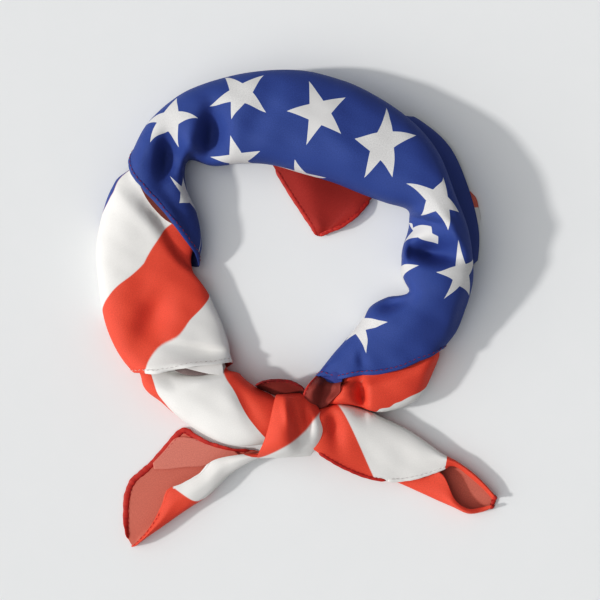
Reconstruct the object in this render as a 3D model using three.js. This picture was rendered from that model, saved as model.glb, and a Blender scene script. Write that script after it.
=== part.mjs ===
import * as THREE from 'three';

// Square satin neck scarf, rolled on its diagonal, laid in a ring and tied in a half knot.
// Millimetres, +Z up, floor at z = 0, knot and tails toward -Y, the ring open at its centre.

const WALL = 1.2;
const HEM_RADIUS = 0.9;
const GAP = 0.5;
const RESTING = 0.01;
const LAYER_STEP = 4.1;

// The rolled band's section starts inside on the floor and runs over the crown to the outside.
const WRAP_START = 255;
const WRAP_SWEEP = 330;
const ROUNDNESS = 0.85;
const MIDDLE_SHARE = 0.45;
const BELLY = 1.4;

function table(names, rows) {
  return rows.map((row) => Object.fromEntries(names.map((name, i) => [name, row[i]])));
}

// Stations of the ring, clockwise from the knot's left side: the plan position of the inner and
// outer side, the height of the crown, the clearance left underneath, the loose outer skirt and
// how far the crown leans outward.
const RING = table(['innerX', 'innerY', 'outerX', 'outerY', 'crown', 'under', 'skirt', 'lean'], [
  [-5, -47, -11, -70, 21, 0, 0, 0],
  [-18, -42, -31, -72, 23, 0, 0, 0],
  [-26.5, -36.5, -47.5, -66.5, 23, 0, 0, 0],
  [-32, -30, -65.5, -54, 22, 0, 0, 1],
  [-34.5, -23.5, -79, -39.5, 20.5, 0, 0, 2],
  [-35.5, -17.5, -91.5, -27, 19, 0, 0, 3],
  [-39.5, -6, -100.5, -9, 18, 0, 0, 4],
  [-45.5, 7.5, -104.5, 13, 18, 0, 0, 4],
  [-51, 23, -105.5, 35, 18.5, 0, 0, 3],
  [-49.5, 34.5, -101, 55.5, 20, 0, 0, 2],
  [-52, 50, -95.5, 67.5, 22, 0, 0, 1],
  [-57, 61.5, -87.5, 81, 24, 0, 0, 0],
  [-58.5, 72, -78.5, 97.5, 26, 0, 0, 0],
  [-55.5, 77, -63.5, 111, 29, 0, 0, 0],
  [-43.5, 74.5, -47.5, 118.5, 31.5, 1, 0, 0],
  [-27.5, 76, -24.5, 124, 33, 3, 0, -1],
  [-13, 75, 2, 125, 35, 3, 0, -2],
  [3, 70.5, 26, 119, 36, 3, 0, -2],
  [18.5, 66, 48, 109.5, 37, 3, 1.5, -1],
  [33.5, 60, 67, 99, 37.5, 3, 5, 1],
  [46, 55.5, 81.5, 85.5, 38, 3, 8.5, 2],
  [57.5, 52, 91, 65, 38, 1, 9.5, 2],
  [57.5, 45, 96.5, 44, 37, 0, 7.5, 2],
  [54.5, 33.5, 96.5, 28, 37, 0, 4.5, 1],
  [54, 19.5, 93.5, 15, 36, 0, 1, -2],
  [55.5, 10, 89.5, 2, 33, 0, 0, -4],
  [46.5, 6.5, 84.5, -11, 29, 0, 0, -5],
  [38, 1.5, 78.5, -21.5, 27, 0, 0, -5],
  [32.5, -7, 75, -31.5, 25.5, 0, 0, -4],
  [26, -15, 68.5, -42.5, 24, 0, 0, -3],
  [19, -23, 59.5, -50, 23, 0, 0, -2],
  [13.5, -30, 44, -54, 22.5, 0, 0, -1],
  [8.5, -37, 27.5, -50, 21.5, 0, 0, 0],
  [5, -45, 10, -51, 20, 0, 0, 0],
]);

// Dents in the band's sides and every lap under them: station and turn place one, length and
// width are its spreads, slant runs it across the band.
const FOLDS = table(['station', 'turn', 'length', 'width', 'slant', 'depth'], [
  [13.5, 0.30, 0.7, 0.10, 4, 3.0],
  [22.3, 0.30, 0.7, 0.12, -1.2, 3.0],
  [25.1, 0.22, 0.5, 0.10, 0, 4.0],
  [4.6, 0.40, 0.5, 0.08, 2, 1.0],
  [30.6, 0.45, 0.7, 0.07, -3, 1.5],
]);

// Places pressed down (raised where the share is below 0), seen from above: the centre, the
// direction of the crease, how far it reaches along it and to its left and right, and the share
// of the height that is lost.
const PRESSES = table(['x', 'y', 'axis', 'length', 'left', 'right', 'share'], [
  [-68, 79, 84, 11, 6, 8, 0.31],
  [-44.5, 90.5, 84, 13, 7.5, 9, 0.25],
  [-55.5, 84, 88, 8, 4, 4, -0.12],
  [-81.5, 78, 75, 14, 4, 4, -0.06],
  [-18, 100.5, 60, 14, 6, 6, 0.05],
  [25, 83, -40, 20, 8, 8, -0.04],
  [64, 47, -18, 11, 1.5, 9, 0.24],
  [68.5, 30, -10, 12, 8, 6, 0.3],
  [80, 40.5, -58, 12, 4, 4, -0.05],
  [49.5, 3, 22, 9, 3.5, 3.5, 0.26],
  [34, -27, 100, 5, 2.2, 2.6, 0.1],
  [56.5, -10.5, 45, 16, 7, 7, -0.05],
  [-76, -4.5, 65, 10, 7, 7, 0.24],
  [-81.5, 11, 70, 9, 6, 6, 0.12],
  [-50, -20.5, -8, 15, 1.8, 5.5, 0.2],
  [-72, 49.5, -50, 10, 4, 5, 0.24],
  [-55.5, -32.5, -2, 10, 2, 2.5, 0.22],
  [-26.5, -49, -58, 12, 4, 4, 0.1],
  [32.5, -46, 95, 7, 5, 1.6, 0.38],
  [14.5, -43, 63, 9, 8, 3.2, 0.5],
  [20, -61.5, 100, 10, 4, 4, 0.22],
  [-4.5, -62.5, 96, 13, 5, 4, 0.2],
  [2, -52, 100, 7, 2, 2.2, -0.1],
  [6.5, -56.5, 100, 8, 2.5, 2.5, 0.1],
]);
const MOST_LOST = 0.7;

// Where each lap's free hem lies: the station it has reached at each part of its turn.
const WRAP_LEFT_HEM = table(['turn', 'station'], [
  [0, 7.9], [0.23, 8.05], [0.36, 8.8], [0.43, 9.4], [0.49, 9.9], [0.53, 10.2], [0.65, 10.65], [0.77, 11.1], [1, 11.3],
]);
const WRAP_RIGHT_HEM = table(['turn', 'station'], [
  [0, 31.6], [0.23, 31.7], [0.42, 31], [0.49, 30], [0.55, 29], [0.61, 28], [0.71, 27], [0.8, 26.8], [1, 26.5],
]);
const BAND_LEFT_HEM = table(['turn', 'station'], [
  [0, 3.3], [0.23, 3.45], [0.47, 4], [0.54, 4.25], [0.63, 4.5], [0.77, 4.6], [1, 4.7],
]);
const BAND_END = 33;
const LAP_END = 7.2;

// The core: where it starts and ends, its inset and least half width, its turns, and how much of
// its size is left after a whole turn.
const CORE_FROM = 0.8;
const CORE_TO = 31.2;
const CORE_INSET = 8.6;
const CORE_LEAST = 2.2;
const CORE_TURNS = 1.4;
const CORE_WINDING = 0.5;

// The knot's loop, from its foot inside the ring over both strands to its foot by the tails:
// the plan of its left and right edge, the height of its middle and how far its edges droop.
const LOOP = table(['leftX', 'leftY', 'rightX', 'rightY', 'height', 'droop'], [
  [-9, -44.9, 0.5, -44.4, 3, 0],
  [-9.6, -44.4, 2.0, -44.0, 15, 0.5],
  [-10.6, -44.6, 4.0, -45.0, 24, 1.5],
  [-12.0, -49.5, 10.6, -50.4, 28.5, 4],
  [-13.6, -57, 13.5, -56, 31, 6],
  [-15.4, -64, 14.0, -62.5, 31, 6.5],
  [-17.6, -70, 11.8, -69.5, 28.5, 6],
  [-20.0, -75, 8.5, -74.5, 22, 4],
  [-20.4, -77.5, 7, -76.8, 15, 3],
  [-18, -77, 6, -76, 10.8, 1],
]);

// The fold cupped behind the loop on the ring's inner side: its rim, its foot and the rim's height.
const TUCK = table(['rimX', 'rimY', 'footX', 'footY', 'height'], [
  [-20.5, -38.9, -17.5, -40.2, 16], [-16, -37.4, -14, -41, 18], [-10, -36.6, -9, -42, 19],
  [-4, -37, -4, -42.4, 19], [1, -38.8, 0.5, -42.4, 18.5], [4, -41, 2.6, -42.6, 17.5],
]);
const TUCK_FOOT = 5;

// Left tail, from the knot to its tip: the hem lying on the floor, the raised crease along its
// other side and the edge of the flap folded back over, with the heights of base and crease.
const LEFT_TAIL = table(
  ['hemX', 'hemY', 'creaseX', 'creaseY', 'flapX', 'flapY', 'base', 'rise', 'lift'], [
    [-23, -74.6, -14, -76, -20, -75.6, 0, 8.5, 2],
    [-34, -74.3, -22, -79, -31, -76.5, 0, 9.5, 2],
    [-46.5, -71, -33.5, -85.5, -44, -79.5, 0, 9.5, 2],
    [-53.5, -67.5, -40.5, -92, -51, -86.5, 0, 9, 1.8],
    [-60, -64, -47.5, -98.5, -60.5, -92, 0, 8.5, 1.6],
    [-66.5, -70, -56, -104, -67.5, -95, 0, 8, 1.5],
    [-75, -80, -64, -109.5, -70.2, -102, 0, 7.5, 1.4],
    [-81.5, -86, -71, -114.5, -74, -110, 0, 7, 1.4],
    [-87, -91, -77.5, -119, -78.6, -117, 0, 6.5, 1.4],
    [-90, -99, -81.5, -122, -82.2, -121, 0, 5.5, 1.4],
    [-90.5, -110.5, -84.5, -124.5, -85, -123.8, 0, 4.5, 1.4],
    [-89.5, -121, -87, -125.5, -87.3, -125, 0, 3.6, 1.8],
  ]);

// Right tail, from the knot to its tip: upper crease, free hem of the flap on top, lower crease
// and the edge of the short flap tucked under, with the heights of base, top flap and tuck.
const RIGHT_TAIL = table(
  ['creaseX', 'creaseY', 'flapX', 'flapY', 'lowX', 'lowY', 'tuckX', 'tuckY', 'base', 'rise', 'tuck'], [
    [11.5, -52.6, 9, -73, 9.5, -71, 10, -68, 4, 22, 9],
    [22, -51.2, 17, -78.5, 18, -75.5, 18.5, -71, 3, 20, 8],
    [33.5, -54, 28, -84.5, 29, -80.5, 30, -75, 1.5, 17, 6],
    [46, -57.4, 40.5, -89, 41.5, -86.5, 42.5, -80, 0, 14, 5],
    [58.5, -63.5, 53, -90, 54, -91.5, 55, -84, 0, 12, 5],
    [69, -70.5, 65, -88, 65.5, -96.5, 67, -83.5, 0, 11, 5],
    [76.5, -76, 75.5, -84.5, 75.5, -101, 77, -87, 0, 10, 5],
    [84, -80, 83, -82.5, 83.5, -104.5, 83.2, -100, 0, 8, 5],
    [92, -85.5, 91, -88, 90.5, -107.5, 90.5, -105, 0, 8, 5],
    [99.5, -92.5, 98.5, -94.5, 97.5, -107, 97.4, -104.5, 0, 7, 5],
    [104.5, -98, 103.4, -99.5, 103, -104.5, 102.6, -103, 0, 6, 5],
  ]);

// Loose corner lying inside the ring, from under the band to its tip.
const CORNER = table(['leftX', 'leftY', 'rightX', 'rightY', 'leftLift', 'rightLift'], [
  [-15, 80.5, 46, 64, 0, 0],
  [-11.5, 74.5, 39, 58, 0, 0.8],
  [-4, 62, 32.5, 50.5, 0.5, 3],
  [3.5, 50.5, 24, 44, 0.8, 3.5],
  [8.5, 43, 16.5, 40.8, 0.8, 2],
  [10.8, 39, 12, 38.8, 0.6, 0.8],
]);

const COLOURS = { blue: 0x26388f, red: 0xc23a2b, white: 0xe6e2dd, hem: 0xb02a22 };

const clamp = (value, low, high) => Math.min(high, Math.max(low, value));
const mix = (a, b, share) => a + (b - a) * share;

function smooth(from, to, value) {
  const share = clamp((value - from) / (to - from), 0, 1);
  return share * share * (3 - 2 * share);
}

// One column of a table at a fractional row, through the rows on a smooth curve.
function column(rows, name, place) {
  const last = rows.length - 1;
  const at = clamp(place, 0, last);
  const i = Math.min(Math.floor(at), last - 1);
  const f = at - i;
  const b = rows[i][name];
  const c = rows[i + 1][name];
  const a = i > 0 ? rows[i - 1][name] : 2 * b - c;
  const d = i + 2 <= last ? rows[i + 2][name] : 2 * c - b;
  return b + 0.5 * f * (c - a + f * (2 * a - 5 * b + 4 * c - d + f * (3 * (b - c) + d - a)));
}

// The station a hem has reached at one part of its turn.
function hemStation(rows, turn) {
  let i = 0;
  while (i < rows.length - 2 && turn > rows[i + 1].turn) {
    i += 1;
  }
  const share = clamp((turn - rows[i].turn) / (rows[i + 1].turn - rows[i].turn), 0, 1);
  return mix(rows[i].station, rows[i + 1].station, share);
}

// The ring's section at a station: its plan line, half width, lowest and highest cloth.
function ringSection(station) {
  const section = {};
  for (const name of Object.keys(RING[0])) {
    section[name] = column(RING, name, station);
  }
  section.skirt = Math.max(0, section.skirt);
  section.spanX = section.outerX - section.innerX;
  section.spanY = section.outerY - section.innerY;
  section.span = Math.hypot(section.spanX, section.spanY);
  section.reach = (section.span - section.skirt - WALL) / 2;
  section.low = WALL / 2 + Math.max(0, section.under);
  section.top = section.crown - WALL / 2;
  return section;
}

// A point of a section, a distance out from its inner side and a height up.
function sectionPoint(section, out, height) {
  const share = (out + WALL / 2) / section.span;
  return new THREE.Vector3(section.innerX + section.spanX * share, section.innerY + section.spanY * share, height);
}

// A point of the band's middle surface: station round the ring, turn across the section, inset
// from the outermost lap, and whether the loose skirt hangs from it.
function bandPoint(station, turn, inset, skirted) {
  const section = ringSection(station);
  const { reach, skirt } = section;
  const psi = THREE.MathUtils.degToRad(WRAP_START - WRAP_SWEEP * turn);
  const c = Math.cos(psi);
  const s = Math.sin(psi);
  const low = section.low + inset;
  const top = section.top - inset;
  const middle = mix(low, top, MIDDLE_SHARE);
  let dent = 0;
  for (const fold of FOLDS) {
    const across = turn - fold.turn;
    const along = station - fold.station - fold.slant * across;
    dent += fold.depth * Math.exp(-((along / fold.length) ** 2) - (across / fold.width) ** 2);
  }
  const side = (reach - inset - dent) * Math.sign(c) * Math.abs(c) ** ROUNDNESS;
  const up = s > 0 ? (top - middle - dent) * s ** ROUNDNESS : -(middle - low) * BELLY * (-s) ** ROUNDNESS;
  let out = reach + side + (s > 0 ? section.lean * s ** ROUNDNESS : 0);
  let height = Math.max(low, middle + up);
  if (skirted && skirt > 0) {
    const flare = smooth(0.72, 0.8, turn) * clamp(skirt / 4, 0, 1);
    const hang = smooth(0.74, 0.98, turn);
    out = mix(out, 2 * reach + skirt * hang, flare);
    height = mix(height, mix(middle, low + 1.5, hang), flare);
  }
  return sectionPoint(section, out, height);
}

// A point let down towards the floor by every pressed place near it, by about the same share for
// every lap there, so that the laps keep their order; a lap under another goes a little deeper.
function pressed(point, deeper = 0) {
  const low = WALL / 2;
  let kept = 1;
  for (const press of PRESSES) {
    const axis = THREE.MathUtils.degToRad(press.axis);
    const x = point.x - press.x;
    const y = point.y - press.y;
    const along = x * Math.cos(axis) + y * Math.sin(axis);
    const side = y * Math.cos(axis) - x * Math.sin(axis);
    const width = side > 0 ? press.left : press.right;
    kept *= 1 - press.share * Math.exp(-((along / press.length) ** 2) - (side / width) ** 2);
  }
  if (point.z > low) {
    kept -= deeper * Math.abs(1 - kept);
    point.setZ(low + (point.z - low) * clamp(kept, 1 - MOST_LOST, 2));
  }
  return point;
}

// The starry wrap: outermost lap, lifted a little along its left hem.
function wrapPoint(along, turn) {
  const left = hemStation(WRAP_LEFT_HEM, turn);
  const right = hemStation(WRAP_RIGHT_HEM, turn);
  const station = mix(left, right, along);
  const lift = 3.5 * Math.exp(-(((station - left) / 0.5) ** 2) - ((turn - 0.42) / 0.12) ** 2)
    + 1.2 * Math.exp(-(((station - right) / 0.5) ** 2) - ((turn - 0.5) / 0.15) ** 2);
  return pressed(bandPoint(station, turn, -lift, true));
}

// The striped band: under the wrap, out in the open beyond the wrap's two hems.
function stripedPoint(along, turn) {
  const left = hemStation(BAND_LEFT_HEM, turn);
  const station = mix(left, BAND_END, along);
  const covered = smooth(-1.1, -0.3, station - hemStation(WRAP_LEFT_HEM, turn))
    * smooth(-1.1, -0.3, hemStation(WRAP_RIGHT_HEM, turn) - station);
  const lift = 2.5 * Math.exp(-(((station - left) / 0.4) ** 2) - ((turn - 0.5) / 0.12) ** 2);
  return pressed(bandPoint(station, turn, LAYER_STEP * covered - lift, false), 0.3 * covered);
}

// The inner lap: comes out of the band on the left and runs into the knot.
function lapPoint(along, turn) {
  const station = mix(0, LAP_END, along);
  const covered = smooth(-1, -0.25, station - hemStation(BAND_LEFT_HEM, turn));
  return pressed(bandPoint(station, turn, LAYER_STEP * covered, false));
}

// The innermost laps: a spiral inside the band, smaller and farther out where the band is dented.
function corePoint(along, turn) {
  const station = mix(CORE_FROM, CORE_TO, along);
  const section = ringSection(station);
  let dent = 0;
  for (const fold of FOLDS) {
    dent += Math.max(0, fold.depth) * Math.exp(-(((station - fold.station) / fold.length) ** 2));
  }
  const wide = Math.max(CORE_LEAST, section.reach - CORE_INSET - dent / 2 - Math.abs(section.lean) / 2);
  const high = Math.max(CORE_LEAST, (section.top - section.low) / 2 - CORE_INSET - dent / 3);
  const psi = THREE.MathUtils.degToRad(WRAP_START - 360 * CORE_TURNS * turn);
  const wound = (1 - CORE_WINDING) * CORE_TURNS * turn;
  return pressed(sectionPoint(
    section,
    section.reach + dent / 2 + Math.cos(psi) * Math.max(1.4, wide * (1 - wound)),
    mix(section.low, section.top, 0.48) + Math.sin(psi) * Math.max(1.4, high * (1 - wound)),
  ), 0.2);
}

function loopPoint(along, across) {
  const place = along * (LOOP.length - 1);
  const get = (name) => column(LOOP, name, place);
  const side = 2 * across - 1;
  return pressed(new THREE.Vector3(
    mix(get('leftX'), get('rightX'), across),
    mix(get('leftY'), get('rightY'), across),
    get('height') - get('droop') * side * side,
  ));
}

function tuckPoint(along, across) {
  const place = along * (TUCK.length - 1);
  const get = (name) => column(TUCK, name, place);
  return new THREE.Vector3(
    mix(get('footX'), get('rimX'), across),
    mix(get('footY'), get('rimY'), across),
    mix(TUCK_FOOT, get('height'), 0.35 * across + 0.65 * across ** 3),
  );
}

// Section of the left tail: share of the way from the hem or the flap's edge to the crease, and
// height as a share of the crease's rise above the base.
const LEFT_SECTION = table(['flap', 'out', 'up', 'lifted'], [
  [0, 0, 0, 1], [0, 0.15, 0, 0.15], [0, 0.5, 0, 0], [0, 0.85, 0, 0], [0, 0.98, 0.2, 0],
  [0, 1, 0.5, 0], [1, 0.95, 0.88, 0], [1, 0.8, 1, 0], [1, 0.5, 0.85, 0], [1, 0.2, 0.6, 0], [1, 0, 0.5, 0],
]);

function leftTailPoint(along, across) {
  const place = along * (LEFT_TAIL.length - 1);
  const get = (name) => column(LEFT_TAIL, name, place);
  const part = across * (LEFT_SECTION.length - 1);
  const flap = clamp(column(LEFT_SECTION, 'flap', part), 0, 1);
  const out = column(LEFT_SECTION, 'out', part);
  const startX = mix(get('hemX'), get('flapX'), flap);
  const startY = mix(get('hemY'), get('flapY'), flap);
  const height = get('base') + WALL / 2 + column(LEFT_SECTION, 'up', part) * (get('rise') - WALL)
    + column(LEFT_SECTION, 'lifted', part) * (get('lift') - WALL);
  return new THREE.Vector3(mix(startX, get('creaseX'), out), mix(startY, get('creaseY'), out),
    Math.max(WALL / 2, height));
}

// Section of the right tail: which two plan points it lies between, how far, and its height.
const RIGHT_SECTION = table(['from', 'to', 'share', 'rise', 'tuck'], [
  ['flap', 'crease', 0, 0.72, 0], ['flap', 'crease', 0.35, 0.85, 0], ['flap', 'crease', 0.75, 1, 0],
  ['flap', 'crease', 0.95, 0.85, 0], ['flap', 'crease', 1, 0.5, 0], ['crease', 'low', 0.04, 0.12, 0],
  ['crease', 'low', 0.2, 0, 0], ['crease', 'low', 0.55, 0, 0], ['crease', 'low', 0.92, 0, 0.05],
  ['crease', 'low', 1, 0, 0.5], ['low', 'tuck', 0.3, 0, 0.95], ['low', 'tuck', 1, 0, 0.9],
]);

function rightTailPoint(along, across) {
  const place = along * (RIGHT_TAIL.length - 1);
  const get = (name) => column(RIGHT_TAIL, name, place);
  const part = across * (RIGHT_SECTION.length - 1);
  const spot = RIGHT_SECTION.map((row) => {
    const base = get('base') + WALL / 2;
    return {
      x: mix(get(`${row.from}X`), get(`${row.to}X`), row.share),
      y: mix(get(`${row.from}Y`), get(`${row.to}Y`), row.share),
      z: base + row.rise * (get('rise') - WALL - get('base')) + row.tuck * (get('tuck') - get('base') - WALL),
    };
  });
  return pressed(new THREE.Vector3(column(spot, 'x', part), column(spot, 'y', part),
    Math.max(WALL / 2, column(spot, 'z', part))));
}

function cornerPoint(along, across) {
  const place = along * (CORNER.length - 1);
  const get = (name) => column(CORNER, name, place);
  const wrinkle = 1.1 * Math.sin(Math.PI * along) ** 2 * Math.sin(Math.PI * 3 * across) ** 2;
  const lift = get('leftLift') * (1 - across) ** 2 + get('rightLift') * across ** 2;
  return new THREE.Vector3(
    mix(get('leftX'), get('rightX'), across),
    mix(get('leftY'), get('rightY'), across),
    WALL / 2 + wrinkle + lift,
  );
}

// A closed sheet of one wall thickness about a surface, with the grid lines it is drawn on.
function sheetSolid(surface, rows, columns) {
  const middle = [];
  for (let i = 0; i <= rows; i += 1) {
    for (let j = 0; j <= columns; j += 1) {
      middle.push(surface(i / rows, j / columns));
    }
  }
  const at = (i, j) => i * (columns + 1) + j;
  const count = middle.length;
  const positions = new Float32Array(count * 6);
  const clamped = (value, top) => clamp(value, 0, top);
  for (let i = 0; i <= rows; i += 1) {
    for (let j = 0; j <= columns; j += 1) {
      const along = middle[at(clamped(i + 1, rows), j)].clone().sub(middle[at(clamped(i - 1, rows), j)]);
      const across = middle[at(i, clamped(j + 1, columns))].clone().sub(middle[at(i, clamped(j - 1, columns))]);
      const normal = along.cross(across).normalize().multiplyScalar(WALL / 2);
      if (middle[at(i, j)].z < WALL / 2 + RESTING) {
        normal.set(0, 0, Math.sign(normal.z) * WALL / 2);
      }
      const front = middle[at(i, j)].clone().add(normal);
      const back = middle[at(i, j)].clone().sub(normal);
      front.z = Math.max(0, front.z);
      back.z = Math.max(0, back.z);
      front.toArray(positions, at(i, j) * 3);
      back.toArray(positions, (count + at(i, j)) * 3);
    }
  }
  const faces = [];
  for (let i = 0; i < rows; i += 1) {
    for (let j = 0; j < columns; j += 1) {
      const [a, b, c, d] = [at(i, j), at(i + 1, j), at(i + 1, j + 1), at(i, j + 1)];
      faces.push(a, b, c, a, c, d);
      faces.push(count + a, count + c, count + b, count + a, count + d, count + c);
    }
  }
  const rim = [];
  for (let i = 0; i < rows; i += 1) {
    rim.push([at(i + 1, 0), at(i, 0)], [at(i, columns), at(i + 1, columns)]);
  }
  for (let j = 0; j < columns; j += 1) {
    rim.push([at(0, j), at(0, j + 1)], [at(rows, j + 1), at(rows, j)]);
  }
  for (const [a, b] of rim) {
    faces.push(a, b, count + b, a, count + b, count + a);
  }
  return closedGeometry(positions, faces);
}

function closedGeometry(positions, faces) {
  const point = (i) => new THREE.Vector3().fromArray(positions, i * 3);
  let volume = 0;
  for (let i = 0; i < faces.length; i += 3) {
    volume += point(faces[i]).dot(point(faces[i + 1]).cross(point(faces[i + 2])));
  }
  const index = volume > 0 ? faces : faces.map((_, i) => faces[i - (i % 3) + 2 - (i % 3)]);
  const geometry = new THREE.BufferGeometry();
  geometry.setAttribute('position', new THREE.BufferAttribute(positions, 3));
  geometry.setIndex(index);
  geometry.computeVertexNormals();
  return geometry;
}

// A rolled hem: a cord of six sides along a line of points.
function hemSolid(line, radius = HEM_RADIUS) {
  const sides = 6;
  const positions = new Float32Array((line.length * sides + 2) * 3);
  const faces = [];
  let turned = new THREE.Vector3(0, 0, 1);
  for (let i = 0; i < line.length; i += 1) {
    const ahead = line[Math.min(i + 1, line.length - 1)];
    const behind = line[Math.max(i - 1, 0)];
    const tangent = ahead.clone().sub(behind).normalize();
    turned = turned.clone().addScaledVector(tangent, -turned.dot(tangent)).normalize();
    const third = tangent.clone().cross(turned);
    for (let j = 0; j < sides; j += 1) {
      const angle = (2 * Math.PI * j) / sides;
      const spot = line[i].clone().addScaledVector(turned, radius * Math.cos(angle));
      spot.addScaledVector(third, radius * Math.sin(angle));
      spot.z = Math.max(0, spot.z);
      spot.toArray(positions, (i * sides + j) * 3);
      if (i > 0) {
        const a = (i - 1) * sides + j;
        const b = (i - 1) * sides + ((j + 1) % sides);
        faces.push(a, b, b + sides, a, b + sides, a + sides);
      }
    }
  }
  const start = line.length * sides;
  line[0].toArray(positions, start * 3);
  line[line.length - 1].toArray(positions, (start + 1) * 3);
  for (let j = 0; j < sides; j += 1) {
    faces.push(start, (j + 1) % sides, j);
    faces.push(start + 1, start - sides + j, start - sides + ((j + 1) % sides));
  }
  return closedGeometry(positions, faces);
}

// The line a hem's cord follows: just off one edge of a sheet, square to the edge and away from
// the sheet, from one of its grid lines to another.
function hemLine(surface, rows, columns, side, first, last) {
  const place = {
    start: (n, depth) => [depth / rows, n / columns],
    end: (n, depth) => [1 - depth / rows, n / columns],
    left: (n, depth) => [n / rows, depth / columns],
    right: (n, depth) => [n / rows, 1 - depth / columns],
  }[side];
  const most = side === 'start' || side === 'end' ? columns : rows;
  const line = [];
  for (let n = first; n <= last; n += 1) {
    const rim = surface(...place(n, 0));
    const along = surface(...place(Math.min(n + 1, most), 0)).sub(surface(...place(Math.max(n - 1, 0), 0)));
    const away = rim.clone().sub(surface(...place(n, 1)));
    along.normalize();
    away.addScaledVector(along, -away.dot(along)).normalize();
    line.push(rim.addScaledVector(away, GAP + HEM_RADIUS));
  }
  return line;
}

const group = new THREE.Group();
group.name = 'square_scarf';

function add(name, geometry, colour, roughness = 0.45) {
  const material = new THREE.MeshStandardMaterial({ color: colour, roughness, metalness: 0 });
  material.name = name;
  const mesh = new THREE.Mesh(geometry, material);
  mesh.name = name;
  group.add(mesh);
}

// Each sheet with the grid it is drawn on.
const SHEETS = {
  starry_wrap: { surface: wrapPoint, rows: 38, columns: 16, colour: COLOURS.blue },
  striped_band: { surface: stripedPoint, rows: 42, columns: 13, colour: COLOURS.white },
  inner_lap: { surface: lapPoint, rows: 12, columns: 13, colour: COLOURS.white },
  roll_core: { surface: corePoint, rows: 30, columns: 12, colour: COLOURS.red },
  knot_loop: { surface: loopPoint, rows: 14, columns: 8, colour: COLOURS.red },
  knot_tuck: { surface: tuckPoint, rows: 8, columns: 6, colour: COLOURS.red },
  left_tail: { surface: leftTailPoint, rows: 14, columns: 14, colour: COLOURS.red },
  right_tail: { surface: rightTailPoint, rows: 14, columns: 15, colour: COLOURS.red },
  corner_flap: { surface: cornerPoint, rows: 8, columns: 8, colour: COLOURS.red },
};

// The rolled hems: the sheet each one edges, which edge, and between which of its grid lines.
const HEMS = table(['name', 'sheet', 'side', 'first', 'last'], [
  ['hem_wrap_left', 'starry_wrap', 'start', 1, 15],
  ['hem_wrap_right', 'starry_wrap', 'end', 1, 15],
  ['hem_band_left', 'striped_band', 'start', 1, 12],
  ['hem_left_tail', 'left_tail', 'left', 0, 14],
  ['hem_left_flap', 'left_tail', 'right', 3, 9],
  ['hem_right_flap', 'right_tail', 'left', 1, 9],
  ['hem_right_tip', 'right_tail', 'end', 3, 12],
  ['hem_corner_left', 'corner_flap', 'left', 2, 8],
  ['hem_corner_right', 'corner_flap', 'right', 2, 7],
]);

for (const [name, sheet] of Object.entries(SHEETS)) {
  add(name, sheetSolid(sheet.surface, sheet.rows, sheet.columns), sheet.colour);
}
for (const hem of HEMS) {
  const sheet = SHEETS[hem.sheet];
  const line = hemLine(sheet.surface, sheet.rows, sheet.columns, hem.side, hem.first, hem.last);
  add(hem.name, hemSolid(line), COLOURS.hem);
}

export default group;
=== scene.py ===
"""Square satin neck scarf with a stars and stripes print, rolled, laid in a ring and tied.

Metres in the scene; the tables below are in millimetres. They follow the part's source, with
the crowns, tails and folds refined inside its box to what the photograph shows.
"""

import math

import bpy
import numpy as np
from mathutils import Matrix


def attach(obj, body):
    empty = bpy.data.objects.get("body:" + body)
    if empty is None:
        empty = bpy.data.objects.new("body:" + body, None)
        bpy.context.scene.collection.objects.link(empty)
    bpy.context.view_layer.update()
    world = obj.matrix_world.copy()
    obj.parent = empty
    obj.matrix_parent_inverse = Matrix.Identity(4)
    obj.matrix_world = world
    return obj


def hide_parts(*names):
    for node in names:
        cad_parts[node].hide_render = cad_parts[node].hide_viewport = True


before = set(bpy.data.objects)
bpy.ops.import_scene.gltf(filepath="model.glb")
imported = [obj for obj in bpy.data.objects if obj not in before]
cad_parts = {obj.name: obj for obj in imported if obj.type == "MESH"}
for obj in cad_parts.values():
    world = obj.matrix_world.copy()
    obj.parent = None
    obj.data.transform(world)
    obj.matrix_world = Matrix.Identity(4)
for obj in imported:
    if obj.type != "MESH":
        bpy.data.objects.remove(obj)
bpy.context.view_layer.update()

MM = 0.001
# The square's side, and the stripes and stars printed on it.
SIDE = 550.0
STRIPES = 13
STAR_COLUMN = 25.0
STAR_ROW = 29.6
STAR_RADIUS = 15.6
STAR_NOTCH = 0.382
# The canton's inner edges, in shares of the side from the left and from the lower edge.
CANTON_ACROSS = 0.546
CANTON_UP = 6 / STRIPES
THREAD_STEP = 0.55
# Thickness of the cloth, and of the part's walls.
CLOTH = 0.42
WALL = 1.2
# The band's section: a superellipse swept from one angle through another, and the step inward
# from one lap to the next.
LAYER_STEP = 4.1
WRAP_START = 255.0
WRAP_SWEEP = 330.0
ROUNDNESS = 0.85
MIDDLE_SHARE = 0.45
BELLY = 1.4
# The last stations of the striped band and of the inner lap.
BAND_END = 33.0
LAP_END = 7.2
# The skirt leaves the roll and hangs between these turns; under its crest it is drawn in by this
# many millimetres, at this turn and over this width.
SKIRT_FLARE = (0.72, 0.8)
SKIRT_HANG = (0.74, 0.98)
SKIRT_CREST = (4.5, 0.82, 0.05)
# Rises beside the hems: how high, over how many stations, at which turn and how far across.
WRAP_LEFT_RISE = (3.5, 0.5, 0.42, 0.12)
WRAP_RIGHT_RISE = (1.2, 0.5, 0.5, 0.15)
BAND_LEFT_RISE = (2.5, 0.4, 0.5, 0.12)
# The spiral inside: its stations, its turns, how far inside the roll it starts, and the least
# half width of its first turn and of its end.
CORE_START, CORE_END = 0.8, 31.2
CORE_TURNS = 1.4
CORE_STEP = 8.6
CORE_LEAST = 2.4
CORE_NEAREST = 1.4
# Stitches: how far apart, how long and thick, how far back from the hem's edge, and how proud.
STITCH_STEP, STITCH_LENGTH, STITCH_THICK = 2.6, 1.7, 0.32
STITCH_BACK = 0.9
STITCH_PROUD = 0.1
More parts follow.
